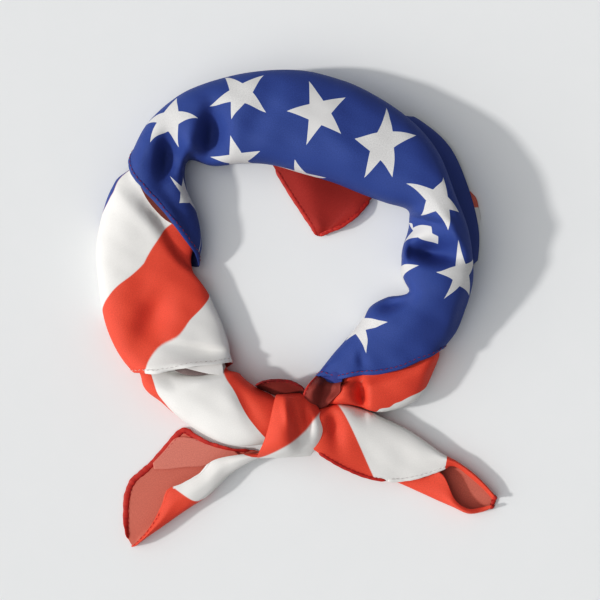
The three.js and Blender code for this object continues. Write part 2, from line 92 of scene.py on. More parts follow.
# Where the picture is taken from, and millimetres of one of its 600 units at the floor.
EYE = np.array([1.8, 5.0, 1050.0])
PIXEL = 0.530
PICTURE = 600
# Vertices that face away are as good as this many units off, and each millimetre of height brings
# a vertex this many units nearer.
FACING_AWAY = 50
HIGHER = 0.12
# A star's map: how strongly it keeps the cloth's own, how far its pins' misses reach, how far the
# star itself does, and the width of the fade towards the next star.
STAR_DRAW = 3.0
STAR_SPREAD = 9.0
STAR_EDGE = 18.5
STAR_FADE = 5


def table(names, rows):
    """Named columns of a table as arrays."""
    return {name: np.array([row[i] for row in rows], dtype=float) for i, name in enumerate(names)}


# Stations of the ring, clockwise from the knot's left side: its inner and outer side in plan, the
# crown's height, how far the roll lies above the floor, and how wide the skirt is and how far out
# the crown leans.
RING = table(("inner_x", "inner_y", "outer_x", "outer_y", "crown", "under", "skirt", "lean"), [
    (-5, -47, -11, -70, 21, 0, 0, 0),
    (-18, -42, -31, -72, 23, 0, 0, 0),
    (-26.5, -36.5, -47.5, -66.5, 23, 0, 0, 0),
    (-32, -30, -65.5, -54, 21.5, 0, 0, 3),
    (-34.5, -23.5, -79, -39.5, 19.5, 0, 0, 5),
    (-35.5, -17.5, -91.5, -27, 17.5, 0, 0, 7),
    (-39.5, -6, -100.5, -9, 16.5, 0, 0, 8),
    (-45.5, 7.5, -104.5, 13, 16.5, 0, 0, 8),
    (-51, 23, -105.5, 35, 17.2, 0, 0, 7),
    (-49.5, 34.5, -101, 55.5, 19, 0, 0, 5),
    (-52, 50, -95.5, 67.5, 21.5, 0, 0, 2),
    (-57, 61.5, -87.5, 81, 24, 0, 0, 0),
    (-58.5, 72, -78.5, 97.5, 26, 0, 0, 0),
    (-55.5, 77, -63.5, 111, 29, 0, 0, 0),
    (-43.5, 74.5, -47.5, 118.5, 31.5, 1, 0, 0),
    (-27.5, 76, -24.5, 124, 33, 3, 0, -1),
    (-13, 75, 2, 125, 35, 3, 0, -2),
    (3, 70.5, 26, 119, 36, 3, 0, -2),
    (18.5, 66, 48, 109.5, 37, 3, 1.5, -1),
    (33.5, 60, 67, 99, 37.5, 3, 5, 1),
    (46, 55.5, 81.5, 85.5, 38, 3, 8.5, 2),
    (57.5, 52, 91, 65, 38, 1, 9.5, 2),
    (57.5, 45, 96.5, 44, 37, 0, 7.5, 2),
    (54.5, 33.5, 96.5, 28, 37, 0, 4.5, 1),
    (54, 19.5, 93.5, 15, 36, 0, 1, -2),
    (55.5, 10, 89.5, 2, 33, 0, 0, -4),
    (46.5, 6.5, 84.5, -11, 29, 0, 0, -5),
    (38, 1.5, 77.2, -21, 27, 0, 0, -5),
    (32.5, -7, 73, -31.2, 23.8, 0, 0, -5),
    (26, -15, 67.5, -42.3, 22, 0, 0, -5),
    (19, -23, 59.5, -50, 21.2, 0, 0, -4),
    (13.5, -30, 44, -54, 21.4, 0, 0, -1),
    (8.5, -37, 27.5, -50, 21.5, 0, 0, 0),
    (5, -45, 10, -51, 20, 0, 0, 0),
])

# Side dents of the band, by station and turn.
FOLDS = table(("station", "turn", "length", "width", "slant", "depth"), [
    (13.5, 0.30, 0.7, 0.10, 4, 3.0),
    (22.3, 0.30, 0.7, 0.12, -1.2, 3.0),
    (25.1, 0.22, 0.5, 0.10, 0, 4.0),
    (4.6, 0.40, 0.5, 0.08, 2, 1.0),
    (30.6, 0.45, 0.7, 0.07, -3, 1.5),
])

# Places pressed down (raised where the share is below 0), seen from above: the centre, the
# direction of the crease in degrees, how far it reaches along it and to its left and right, and
# the share of the height that is lost.
PRESSES = table(("x", "y", "axis", "length", "left", "right", "share"), [
    (-68, 79, 84, 11, 4.5, 7, 0.5),
    (-44.5, 90.5, 84, 12, 5, 7.5, 0.46),
    (-55.5, 84, 88, 8, 4, 4, -0.12),
    (-81.5, 78, 75, 14, 4, 4, -0.06),
    (-18, 100.5, 60, 14, 6, 6, 0.05),
    (25, 83, -40, 20, 8, 8, -0.04),
    (64, 47, -18, 11, 1.5, 9, 0.24),
    (68.5, 30, -10, 13, 7, 5, 0.5),
    (55.5, 30, 82, 9, 2.5, 2.5, -0.22),
    (80, 40.5, -58, 12, 3, 4, -0.1),
    (49.5, 3, 22, 9, 3.5, 3.5, 0.26),
    (73, -31, 66, 11, 3, 20, 0.42),
    (86.5, -3, 72, 14, 3.5, 20, 0.26),
    (34, -27, 100, 5, 2.2, 2.6, 0.1),
    (56.5, -10.5, 45, 16, 7, 7, -0.05),
    (-76, -4.5, 65, 13, 7, 8, 0.36),
    (-81.5, 11, 70, 9, 6, 6, 0.12),
    (-50, -20.5, -8, 15, 1.8, 5.5, 0.2),
    (-72, 49.5, -50, 10, 4, 5, 0.1),
    (-55.5, -32.5, -2, 10, 1.6, 2.5, 0.4),
    (-26.5, -49, -58, 12, 4, 4, 0.1),
    (35, -45, 95, 8, 4.5, 1.4, 0.5),
    (17, -43, 63, 9, 8.5, 3.6, 0.52),
    (20, -61.5, 100, 10, 4, 4, 0.22),
    (1.5, -60.5, 96, 13, 5, 7, 0.26),
    (-5, -53, 100, 8, 2.4, 2.4, -0.08),
    (5.5, -56.5, 100, 8, 2.5, 2.5, 0.12),
])

# The station that each hem has reached at each turn of the section.
WRAP_LEFT_HEM = table(("turn", "station"), [
    (0, 7.9), (0.23, 8.05), (0.36, 8.8), (0.43, 9.4), (0.49, 9.9), (0.53, 10.2), (0.65, 10.65),
    (0.77, 11.1), (1, 11.3),
])
WRAP_RIGHT_HEM = table(("turn", "station"), [
    (0, 31.6), (0.23, 31.7), (0.42, 31), (0.49, 30), (0.55, 29), (0.61, 28), (0.71, 27), (0.8, 26.8),
    (1, 26.5),
])
BAND_LEFT_HEM = table(("turn", "station"), [
    (0, 3.3), (0.23, 3.45), (0.38, 3.82), (0.45, 4.15), (0.51, 4.3), (0.55, 4.3), (0.63, 4.5),
    (0.77, 4.6), (1, 4.7),
])

# The print: at each station, how far along the cloth's diagonal and how far aside of it the
# crown of each lap lies (millimetres of flat cloth).
WRAP_PRINT = table(("station", "along", "aside"), [
    (7.5, -205, 212), (10, -172, 213), (12.7, -128.6, 213.5), (14.8, -90, 214), (16.7, -51.4, 224.5),
    (18.6, -12.8, 231), (21, 25.8, 235), (22.1, 62, 236), (23.7, 103, 231), (28.2, 138.4, 234),
    (29, 146, 234), (32, 180, 236),
])
BAND_PRINT = table(("station", "along", "aside"), [
    (3, -312, 103), (5.5, -252.6, 103), (7.7, -192.8, 103), (9.5, -162, 103), (12, -125, 103),
    (20, 40, 103), (28, 120, 100), (33, 215, 95),
])
LAP_PRINT = table(("station", "along", "aside"), [
    (0, -318, -36), (1.7, -293, -36), (3.3, -264, -36), (7.2, -196, -36),
])

# For each star its column and row on the flag, then which of its tips (clockwise from the one that
# points up the flag, a half for the notch after it, none for its centre), and where that is seen.
STAR_PINS = (
    ((1, 7), (None, 170.4, 119.7), (0, 177, 98.1), (1, 197.7, 117.2), (2, 179.5, 147.9),
     (3, 150.5, 142.9)),
    ((2, 6), (None, 240, 94.5), (0, 263.3, 75.8), (1, 265.7, 111.7), (2, 231.2, 119.4),
     (3, 209, 105.9)),
    ((3, 5), (None, 318.5, 112), (0, 345.3, 96.8), (1, 341.4, 136.1), (2, 306.4, 144.1),
     (3, 286.5, 110.6), (4, 308.9, 80.7)),
    ((4, 4), (None, 381.3, 143.5), (0, 416.2, 135.3), (1, 392, 176.7), (2, 365.5, 177),
     (3, 355.2, 137.6), (4, 386.6, 107.8)),
    ((5, 3), (None, 436, 201), (0, 458.2, 212.3), (3, 405.8, 182.6), (4, 442.5, 178), (1, 446.8, 229.8),
     (2, 421.5, 216)),
    ((6, 2), (None, 422, 231.5), (0, 438.7, 244.6), (1, 401.5, 241.6), (2, 405.6, 222)),
    ((7, 1), (None, 460.5, 275), (0, 468.8, 296), (1, 443.2, 297.8), (2, 437.3, 272.5),
     (3, 457.5, 240)),
    ((3, 7), (4, 229.3, 135), (0, 260.8, 150.4), (None, 238, 160)),
    ((4, 6), (4, 294.8, 159.5), (0, 326.3, 177.4), (None, 302, 180)),
    ((8, 2), (0, 418.6, 264.8), (4.5, 401.4, 267), (0.5, 403.3, 277.3)),
    ((9, 1), (None, 355.5, 326.5), (4, 387.4, 322.2), (0, 366.7, 353.6), (1, 346, 341)),
    ((2, 8), (4, 169.6, 176.1), (3, 178.7, 202.3), (None, 187, 196)),
)
# Border between stripes, and where it is seen.
BAND_PINS = (
    (6, 131, 168), (6, 124.8, 174.4), (6, 113, 193), (6, 100, 214),
    (5, 172.9, 222.5), (5, 149.6, 249), (5, 124.8, 279), (5, 103, 313), (3.3, 224, 352), (3.25, 228, 362),
    (4, 210.2, 294.9), (4, 196, 313.2), (4, 179.5, 334.7), (4, 167.9, 341.4), (4, 151.3, 351.3),
    (4, 148.8, 363),
    (11, 376.4, 413), (11, 389.8, 407), (11, 406, 399), (11, 420.5, 390), (10.2, 345, 380),
    (10.25, 400, 370), (10.4, 436, 362), (10.6, 330, 404),
)
LAP_PINS = (
    (2.45, 138.9, 369.5), (2.35, 145, 385), (2.2, 155.5, 399), (2, 148.8, 370), (2, 153, 382.8),
    (2, 162.9, 399.4), (2, 176.2, 416),
    (1, 225, 375.4), (1, 232.6, 389.5), (1, 245.8, 412.7), (1, 255.8, 426), (1, 265.7, 436.7),
    (0.45, 262, 410),
)
LOOP_PINS = (
    (1, 321.6, 413.8), (1, 310.9, 423.8), (1, 299.1, 436.8), (1, 284.9, 446.3), (1, 271.9, 453.4),
    (1, 262.5, 455.2),
)
FLAP_PINS = (
    (11, 336.9, 404.9), (11, 342.8, 410.8), (11, 349.9, 426.2), (11, 355.8, 438), (11, 359.4, 449.8),
    (11, 363.1, 461.3), (11, 367.3, 470.5), (11, 375.7, 480.3),
)

# Inside of the roll: rows from the wrap's hem to the knot, each from the rim over the bump and the
# hollow to the front: where it is seen, and its height. Its dark red is painted shade.
POCKET = (
    ((316.8, 376, 12), (322, 377, 12), (330, 377, 10), (338, 378, 10), (346, 379, 11)),
    ((309, 384.5, 19), (318, 384.5, 20), (325, 385, 14.5), (335, 385, 15.8), (341, 384, 19)),
    ((304.5, 392, 19.5), (313, 392, 21.5), (323, 393, 15), (332, 393, 15.2), (340, 392, 20.8)),
    ((303.8, 400, 18.5), (312, 400, 20), (320, 401, 15.5), (326, 401, 15.6), (334, 398.5, 18.6)),
    ((307, 406.5, 17), (313, 407.5, 17), (318, 408, 15.5), (321, 408, 15), (327, 406, 15)),
)
# The second layer of the starry wrap, seen under its hem: rows from the left to the right.
UNDER_WRAP = (
    ((320, 371, 12.5), (320, 375, 12), (320, 378, 11.5), (320, 380, 11)),
    ((326, 366, 13.5), (326, 373, 14), (326, 379, 13), (326, 383, 12)),
    ((334, 362, 15), (334, 372, 16.2), (334, 379, 15.5), (334, 384.5, 14)),
    ((343, 360, 16), (343, 371, 17), (343, 377, 16.8), (342, 383, 16.2)),
)
# The red side of a lower layer under the wrap's left hem, its colour darkened by painted shade.
UNDER_HEM = (
    ((153, 177, 18.4), (147, 184, 18.2), (142, 186, 17.9), (140.5, 187, 17.8)),
    ((163, 187, 17.8), (155, 194, 17.6), (149, 197, 17.2), (146.5, 198.5, 17)),
    ((173, 197, 17.2), (165, 204, 16.8), (158, 207, 15.9), (154.5, 209, 15.5)),
    ((183, 206, 16.4), (174, 213, 16), (168, 217, 14.7), (165, 219.5, 14.4)),
    ((190, 217, 15.4), (183, 223, 15), (178.5, 224.5, 14.6), (176.5, 226, 14.4)),
)
# A fold of the cloth's back that lies over the left tail, from its hem to the fold's line.
TAIL_FOLD = (
    ((153, 463, 1.5), (153.5, 466, 1.7), (154, 469, 1.9)),
    ((165, 450, 1.4), (167, 460, 1.8), (168, 469, 2.4)),
    ((176, 438, 1.4), (183, 453, 1.8), (187, 467, 2.6)),
    ((192, 438, 1.4), (199, 452, 1.8), (204, 466, 2.6)),
    ((210, 444, 1.4), (215, 451, 1.7), (220, 459, 2.1)),
    ((232, 449, 1.3), (236, 452, 1.5), (240, 455, 1.6)),
)
# The shade in the gap under the band's left hem, over the lap, painted on a sheet, and the turned edge
# above it.
HEM_GAP = (
    ((171, 360, 14.6), (171, 364, 14.6), (171, 368, 14.2)),
    ((181, 360, 14.5), (181, 367, 14.2), (181.5, 373.5, 13.9)),
    ((190, 360, 14.4), (190, 368, 13.8), (190.5, 375.3, 15)),
    ((200, 361, 14.2), (200, 369, 14), (200.5, 375.2, 15.6)),
    ((208, 363, 14.2), (208, 369, 14.2), (208.5, 374, 15.2)),
)
HEM_TURN = (
    ((181, 357, 15.4), (181, 362, 15.4), (181, 367, 15.6)),
    ((190, 358, 15.3), (190, 364, 15.5), (190.5, 369.5, 15.6)),
    ((200, 358, 15.2), (200, 365, 15.6), (200.5, 372, 15.8)),
    ((209, 360, 15), (209.5, 367, 15.8), (210, 374, 16.3)),
    ((217, 362, 14.9), (217.5, 368, 15.8), (218, 374.5, 16.2)),
    ((222, 362, 14.7), (223, 368, 15.4), (223.5, 374.5, 15.8)),
)
# A lower layer of the striped roll that shows past the skirt's outer edge.
OUTER_STRIPES = (
    ((450, 190, 2), (462, 191, 2), (470.5, 191.5, 1.2)),
    ((452, 199, 2), (465, 199, 2), (476.3, 198.5, 1.2)),
    ((454, 208, 2), (467, 208, 2), (478.6, 207.5, 1.2)),
    ((456, 217, 2), (469, 217, 2), (480.6, 217, 1.2)),
    ((458, 226, 2), (471, 226, 2), (478.6, 227, 1.2)),
)

# Rows from the strand to the front of the loop: its left and right edge in plan.
LOOP = table(("left_x", "left_y", "right_x", "right_y", "height", "droop"), [
    (-9, -44.9, 0.5, -44.4, 3, 0),
    (-9.6, -44.4, 2.0, -44.0, 15, 0.5),
    (-10.6, -44.6, 4.0, -45.0, 24, 1.5),
    (-12.0, -49.5, 10.6, -50.4, 28.5, 4),
    (-13.6, -57, 13.5, -56, 31, 6),
    (-15.4, -64, 14.0, -62.5, 31, 6.5),
    (-17.6, -70, 11.8, -69.5, 28.5, 6),
    (-20.0, -75, 8.5, -74.5, 22, 4),
    (-20.4, -77.5, 7, -76.8, 15, 3),
    (-18, -77, 6, -76, 10.8, 1),
])

# Rows from the left to the right of the fold behind the loop.
TUCK = table(("rim_x", "rim_y", "foot_x", "foot_y", "height"), [
    (-21.5, -39.5, -20, -41.5, 16), (-17, -37.4, -15, -43.5, 18), (-11, -36.6, -10.5, -46, 19),
    (-4, -37, -4, -46.5, 19), (1.5, -39.5, 1, -46, 18.5), (4.5, -42, 3.6, -45, 17.5),
])

# Rows from the knot to the tip. The section says, for each point across, whether it lies on the
# hem's or the flap's side, how far out towards the crease, and its shares of the rise and the lift.
LEFT_TAIL = table(
    ("hem_x", "hem_y", "crease_x", "crease_y", "flap_x", "flap_y", "base", "rise", "lift"), [
        (-23, -74.6, -14, -76, -20, -75.6, 0, 10.5, 2),
        (-34, -74.3, -22, -79, -31, -76.5, 0, 12, 2),
        (-46.5, -71, -33.5, -85.5, -44, -79.5, 0, 12, 2),
        (-53.5, -67.5, -40.5, -92, -51, -86.5, 0, 12, 1.8),
        (-60, -64, -47.5, -98.5, -60.5, -92, 0, 12, 1.6),
        (-66.5, -70, -56, -104, -67.5, -95, 0, 11.5, 1.5),
        (-75, -80, -64, -109.5, -70.2, -102, 0, 11, 1.4),
        (-81.5, -86, -71, -114.5, -74, -110, 0, 10.5, 1.4),
        (-87, -91, -77.5, -119, -78.6, -117, 0, 10, 1.4),
        (-90, -99, -81.5, -122, -82.2, -121, 0, 8.5, 1.4),
        (-90.5, -110.5, -84.5, -124.5, -85, -123.8, 0, 6.5, 1.4),
        (-89.5, -121, -87, -125.5, -87.3, -125, 0, 3.6, 1.8),
    ])

LEFT_SECTION = table(("flap", "out", "up", "lifted"), [
    (0, 0, 0, 1), (0, 0.15, 0, 0.15), (0, 0.5, 0, 0), (0, 0.85, 0, 0), (0, 0.98, 0.2, 0),
    (0, 1, 0.45, 0), (1, 0.95, 0.72, 0), (1, 0.8, 0.88, 0), (1, 0.5, 1, 0), (1, 0.2, 0.92, 0),
    (1, 0, 0.8, 0),
])

# Rows from the knot to the tip. The section says, for each point across, which two lines it lies
# between, how far towards the second, and its shares of the rise and of the short flap's height.
RIGHT_TAIL = table(
    ("crease_x", "crease_y", "flap_x", "flap_y", "low_x", "low_y", "tuck_x", "tuck_y", "base", "rise",
     "tuck"), [
        (11.5, -51.6, 9, -73, 9.5, -71, 10, -68, 4, 22, 9),
        (22, -49.6, 17, -78.5, 18, -75.5, 18.5, -71, 3, 20, 8),
        (33.5, -51.8, 28, -84.5, 29, -80.5, 30, -75, 1.5, 17, 6),
        (46, -57.4, 40.5, -89, 41.5, -86.5, 42.5, -80, 0, 14, 5),
        (58.5, -63.5, 53, -90, 54, -91.5, 55, -84, 0, 12, 5),
        (69, -70.5, 65, -88, 65.5, -96.5, 67, -83.5, 0, 11, 6),
        (76.5, -76, 75.5, -84.5, 75.5, -101, 77, -87, 0, 10, 8),
        (84, -80, 83, -82.5, 83.5, -104.5, 83.2, -100, 0, 9, 9),
        (92, -85.5, 91, -88, 90.5, -107.5, 90.5, -105, 0, 8, 8),
        (99.5, -92.5, 98.5, -94.5, 97.5, -107, 97.4, -104.5, 0, 7, 5),
        (105.1, -99, 103.8, -100.4, 103.5, -104.7, 103, -103.2, 0, 6, 5),
    ])

RIGHT_SECTION = (
    ("flap", "crease", 0, 0.72, 0), ("flap", "crease", 0.35, 0.85, 0), ("flap", "crease", 0.75, 1, 0),
    ("flap", "crease", 0.95, 0.85, 0), ("flap", "crease", 1, 0.5, 0), ("crease", "low", 0.04, 0.12, 0),
    ("crease", "low", 0.2, 0, 0), ("crease", "low", 0.55, 0, 0), ("crease", "low", 0.92, 0, 0.05),
    ("crease", "low", 1, 0, 0.5), ("low", "tuck", 0.3, 0, 0.95), ("low", "tuck", 1, 0, 0.9),
)

# Rows from the band to the tip of the loose corner.
CORNER = table(("left_x", "left_y", "right_x", "right_y", "left_lift", "right_lift"), [
    (-15, 80.5, 46, 64, 0, 0),
    (-11.5, 74.5, 39, 58, 0, 0.8),
    (-4, 62, 32.5, 50.5, 0.5, 3),
    (3.5, 50.5, 24, 44, 0.8, 3.5),
    (8.5, 43, 16.5, 40.8, 0.8, 2),
    (10.8, 39, 12, 38.8, 0.6, 0.8),
])


def smooth(start, end, value):
    """0 before start, 1 after end, and 3t^2 - 2t^3 between."""
    share = np.clip((value - start) / (end - start), 0.0, 1.0)
    return share * share * (3 - 2 * share)


def column(rows, name, place):
    """A column at fractional rows: the cubic through four neighbouring rows (Catmull and Rom)."""
    data = rows[name]
    last = len(data) - 1
    at = np.clip(place, 0, last)
    i = np.minimum(np.floor(at).astype(int), last - 1)
    f = at - i
    b, c = data[i], data[i + 1]
    a = np.where(i > 0, data[np.maximum(i - 1, 0)], 2 * b - c)
    d = np.where(i + 2 <= last, data[np.minimum(i + 2, last)], 2 * c - b)
    return b + 0.5 * f * (c - a + f * (2 * a - 5 * b + 4 * c - d + f * (3 * (b - c) + d - a)))


def rows_at(rows, place):
    """Every column of a table at fractional rows."""
    return {name: column(rows, name, place) for name in rows}


def rows_along(rows, along):
    """Every column of a table, from its first row to its last as along goes from 0 to 1."""
    return rows_at(rows, along * (len(next(iter(rows.values()))) - 1))


def on_line(row, start, end, share):
    """Plan places a share of the way from one named point of the rows to another."""
    x = row[start + "_x"] + (row[end + "_x"] - row[start + "_x"]) * share
    y = row[start + "_y"] + (row[end + "_y"] - row[start + "_y"]) * share
    return x, y


def gaussian(first, second=0.0):
    """exp(-(first^2 + second^2)): one at the middle, about a third at distance one."""
    return np.exp(-first ** 2 - second ** 2)


def spline_weights(count, place):
    """The share of each of count control points in the cubic through them, at each place: the
    same cubic as for a column, run once for each point with that point one and the rest zero."""
    return np.stack([column({"share": one}, "share", place) for one in np.eye(count)], axis=-1)


def hem_station(rows, turn):
    """The station that a hem has reached at each turn, straight between its rows."""
    return np.interp(turn, rows["turn"], rows["station"])


def grid(rows, columns):
    """Two arrays from 0 to 1, along and across a sheet."""
    return np.meshgrid(np.linspace(0, 1, rows + 1), np.linspace(0, 1, columns + 1), indexing="ij")


def picture(points):
    """Where points are seen from above, in the picture's 600 units."""
    near = EYE[2] / (EYE[2] - points[..., 2])
    px = PICTURE / 2 + (points[..., 0] - EYE[0]) * near / PIXEL
    py = PICTURE / 2 - (points[..., 1] - EYE[1]) * near / PIXEL
    return np.stack([px, py], axis=-1)


def press(points, deeper=0.0):
    """Heights above the floor scaled by each pressed place, about the same for every layer at a
    spot, so that the layers keep their order; a layer under another goes a little deeper."""
    low = WALL / 2
    kept = np.ones(points.shape[:-1])
    for i in range(len(PRESSES["x"])):
        x = points[..., 0] - PRESSES["x"][i]
        y = points[..., 1] - PRESSES["y"][i]
        axis = math.radians(PRESSES["axis"][i])
        along = x * math.cos(axis) + y * math.sin(axis)
        side = y * math.cos(axis) - x * math.sin(axis)
        width = np.where(side > 0, PRESSES["left"][i], PRESSES["right"][i])
        kept = kept * (1 - PRESSES["share"][i] * gaussian(along / PRESSES["length"][i], side / width))
    kept = kept - deeper * np.abs(1 - kept)
    height = points[..., 2]
    height = np.where(height > low, low + (height - low) * np.clip(kept, 0.3, 2), height)
    return np.concatenate([points[..., :2], height[..., None]], axis=-1)


def creased(points, size, seed):
    """Fine unevenness of cloth, a fraction of a millimetre high: a sum of seven sine waves in
    plan, each in its own direction and bent by another sine, none of it on the floor."""
    x, y = points[..., 0], points[..., 1]
    lift = np.zeros_like(x)
    for i in range(7):
        angle = 2.4 * i + seed
        wave = 5.5 + 3.1 * i
        phase = 1.7 * i * i + seed * 3
        bend = 0.6 * np.sin((x * math.sin(angle) - y * math.cos(angle)) / (wave * 2.2) + phase)
        run = x * math.cos(angle) + y * math.sin(angle)
        lift = lift + np.sin(run * math.pi / wave + phase + bend)
    lift = lift * size / 3
    lift = lift * smooth(1.5, 8, points[..., 2])
    return np.concatenate([points[..., :2], (points[..., 2] + lift)[..., None]], axis=-1)


def band_reach(row):
    """The length of the line from the inner to the outer side, and half the roll's width: that
    length less the skirt and one wall, halved."""
    span = np.hypot(row["outer_x"] - row["inner_x"], row["outer_y"] - row["inner_y"])
    return span, (span - np.maximum(0, row["skirt"]) - WALL) / 2


def band(station, turn, inset, skirted):
    """Points of the band: a superellipse section, whose sine and cosine are raised to a power
    below one, on the line from inner to outer side. Gaussian dents draw it in, the floor cuts it
    flat, and past the flare the skirt hangs straight from its outer side."""
    row = rows_at(RING, station)
    span, reach = band_reach(row)
    skirt = np.maximum(0, row["skirt"])
    psi = np.radians(WRAP_START - WRAP_SWEEP * turn)
    c, s = np.cos(psi), np.sin(psi)
    low = WALL / 2 + np.maximum(0, row["under"]) + inset
    top = row["crown"] - WALL / 2 - inset
    middle = low + (top - low) * MIDDLE_SHARE
    dent = np.zeros_like(station)
    for i in range(len(FOLDS["station"])):
        across = turn - FOLDS["turn"][i]
        along = station - FOLDS["station"][i] - FOLDS["slant"][i] * across
        dent = dent + FOLDS["depth"][i] * gaussian(along / FOLDS["length"][i], across / FOLDS["width"][i])
    skirting = np.clip(skirt / 4, 0, 1) if skirted else 0.0
    side = (reach - inset - dent) * np.sign(c) * np.abs(c) ** (ROUNDNESS - 0.2 * skirting * (c > 0))
    rising = np.abs(s) ** (ROUNDNESS - 0.15 * skirting * (c > 0))
    up = np.where(s > 0, (top - middle - dent) * rising, -(middle - low) * BELLY * rising)
    lean = row["lean"] * rising * (1 - np.minimum(1, (side / reach) ** 2))
    out = reach + side + np.where(s > 0, lean, 0)
    height = np.maximum(low, middle + up)
    if skirted:
        flare = smooth(*SKIRT_FLARE, turn) * skirting
        hang = smooth(*SKIRT_HANG, turn)
        depth, crest, width = SKIRT_CREST
        under_crest = depth * skirting * gaussian((turn - crest) / width)
        out = out + (2 * reach + skirt * hang - out) * flare - under_crest
        height = height + (middle + (low + 1.5 - middle) * hang - height) * flare
    return np.stack([*on_line(row, "inner", "outer", (out + WALL / 2) / span), height], axis=-1)


def cloth_of(points, station, rows, gain):
    """Where each point lies on the flat cloth, in millimetres: the table gives the crown's place,
    and the arc length across from the crown (turn one half) the rest. Also the surface's own
    frame, length along the crown and arc across it."""
    step = np.linalg.norm(np.diff(points, axis=1), axis=2)
    arc = np.concatenate([np.zeros((points.shape[0], 1)), np.cumsum(step, axis=1)], axis=1)
    middle = points.shape[1] // 2
    arc = arc - arc[:, [middle]]
    run = np.concatenate([[0], np.cumsum(np.linalg.norm(np.diff(points[:, middle], axis=0), axis=1))])
    own_run = np.interp(station, station[:, middle], run)
    along = np.interp(station, rows["station"], rows["along"])
    aside = np.interp(station, rows["station"], rows["aside"]) + gain * arc
    x = SIDE / 2 + (along - aside) / math.sqrt(2)
    y = SIDE / 2 + (along + aside) / math.sqrt(2)
    return np.stack([x, y], axis=-1), np.stack([own_run, arc], axis=-1)


def nearest(points, seen, facing, px, py):
    """The vertex seen nearest to a place in the picture, of those that face up, the higher first."""
    gap = np.hypot(seen[..., 0] - px, seen[..., 1] - py) + np.where(facing, 0, FACING_AWAY)
    return np.unravel_index(np.argmin(gap - HIGHER * points[..., 2]), points.shape[:2])


def spread(far, spots, misses, radius, ease):
    """The misses at the spots, spread by Gaussians of one radius over the distances from them."""
    between = np.linalg.norm(spots[:, None] - spots[None], axis=-1)
    weights = np.linalg.solve(gaussian(between / radius) + ease * np.eye(len(spots)), misses)
    return gaussian(far / radius) @ weights


def pinned(points, cloth, frame_place, borders, radius):
    """The cloth places moved so that each pinned border between stripes, counted up from the
    flag's lower edge, is seen where its row says, by spreading the misses over the surface."""
    seen = picture(points)
    across = np.arange(points.shape[1]) / points.shape[1]
    facing = (across > 0.12) & (across < 0.9)
    spots, misses = [], []
    for border, px, py in borders:
        at = nearest(points, seen, facing, px, py)
        spots.append(frame_place[at])
        misses.append([0, border * SIDE / STRIPES - cloth[at][1]])
    spots, misses = np.array(spots), np.array(misses)
    far = np.linalg.norm(frame_place[..., None, :] - spots, axis=-1)
    return cloth + spread(far, spots, misses, radius, 0.03)


def starred(points, cloth, frame_place, turn):
    """The starry cloth: each vertex takes the flat cloth's place from the affine map of the star
    whose pins are nearest, a least squares fit of its pins drawn to the cloth's own map, and a
    share of one within that star's reach and none elsewhere."""
    seen = picture(points)
    facing = (turn > 0.1) & (turn < 0.74)
    best = np.full(points.shape[:2], 1e9)
    second = np.full(points.shape[:2], 1e9)
    placed = cloth.copy()
    inside = np.zeros(points.shape[:2])
    for (star_column, star_row), *tips in STAR_PINS:
        centre = np.array([star_column * STAR_COLUMN, SIDE - star_row * STAR_ROW])
        spots, targets = [], []
        for tip, px, py in tips:
            i, j = nearest(points, seen, facing, px, py)
            spots.append(frame_place[i, j])
            targets.append(centre + star_tip(tip))
            near = (slice(max(i - 2, 0), i + 3), slice(max(j - 2, 0), j + 3))
        spots, targets = np.array(spots), np.array(targets)
        middle, goal = spots.mean(axis=0), targets.mean(axis=0)
        square = cloth[near].reshape(-1, 2) - cloth[near].mean(axis=(0, 1))
        local = frame_place[near].reshape(-1, 2) - frame_place[near].mean(axis=(0, 1))
        draw = STAR_DRAW * np.eye(2)
        a = np.concatenate([spots - middle, draw])
        b = np.concatenate([targets - goal, draw @ np.linalg.lstsq(local, square, rcond=None)[0]])
        turned = np.linalg.lstsq(a, b, rcond=None)[0]
        far = np.linalg.norm(frame_place[..., None, :] - spots, axis=-1)
        misses = targets - goal - (spots - middle) @ turned
        mapped = goal + (frame_place - middle) @ turned + spread(far, spots, misses, STAR_SPREAD, 0.1)
        far = np.min(far, axis=-1)
        own_star = far < best
        second = np.where(own_star, best, np.minimum(second, far))
        best = np.where(own_star, far, best)
        placed[own_star] = mapped[own_star]
        reach = np.linalg.norm(mapped - centre, axis=-1)
        inside = np.where(own_star, np.clip((STAR_EDGE - reach) / 2, 0, 1), inside)
    share = np.minimum(inside, np.clip((second - best) / STAR_FADE, 0, 1)) * facing
    return placed, share


def star_tip(tip):
    """From a star's centre to one of its tips or notches, or to the centre itself."""
    if tip is None:
        return np.zeros(2)
    radius = STAR_RADIUS * (STAR_NOTCH if tip % 1 else 1)
    angle = math.radians(72 * tip)
    return np.array([radius * math.sin(angle), radius * math.cos(angle)])


def risen(rise, past, turn):
    """How much a lap is lifted, some stations past a hem."""
    height, reach, middle, width = rise
    return height * gaussian(past / reach, (turn - middle) / width)


def wrap_points(along, turn):
    """The starry wrap, straight between its two hems' stations, lifted near them."""
    left = hem_station(WRAP_LEFT_HEM, turn)
    right = hem_station(WRAP_RIGHT_HEM, turn)
    station = left + (right - left) * along
    lift = risen(WRAP_LEFT_RISE, station - left, turn) + risen(WRAP_RIGHT_RISE, station - right, turn)
    return band(station, turn, -lift, True), station


def striped_points(along, turn):
    """The striped band from its left hem to its end, one step inward where the wrap covers it."""
    left = hem_station(BAND_LEFT_HEM, turn)
    station = left + (BAND_END - left) * along
    covered = smooth(-1.1, -0.3, station - hem_station(WRAP_LEFT_HEM, turn))
    nearer = 0.5 * smooth(0.6, 0.7, turn)
    covered = covered * smooth(-1.1, -0.3, hem_station(WRAP_RIGHT_HEM, turn) - station - nearer)
    lift = risen(BAND_LEFT_RISE, station - left, turn)
    return press(band(station, turn, LAYER_STEP * covered - lift, False), 0.3 * covered), station


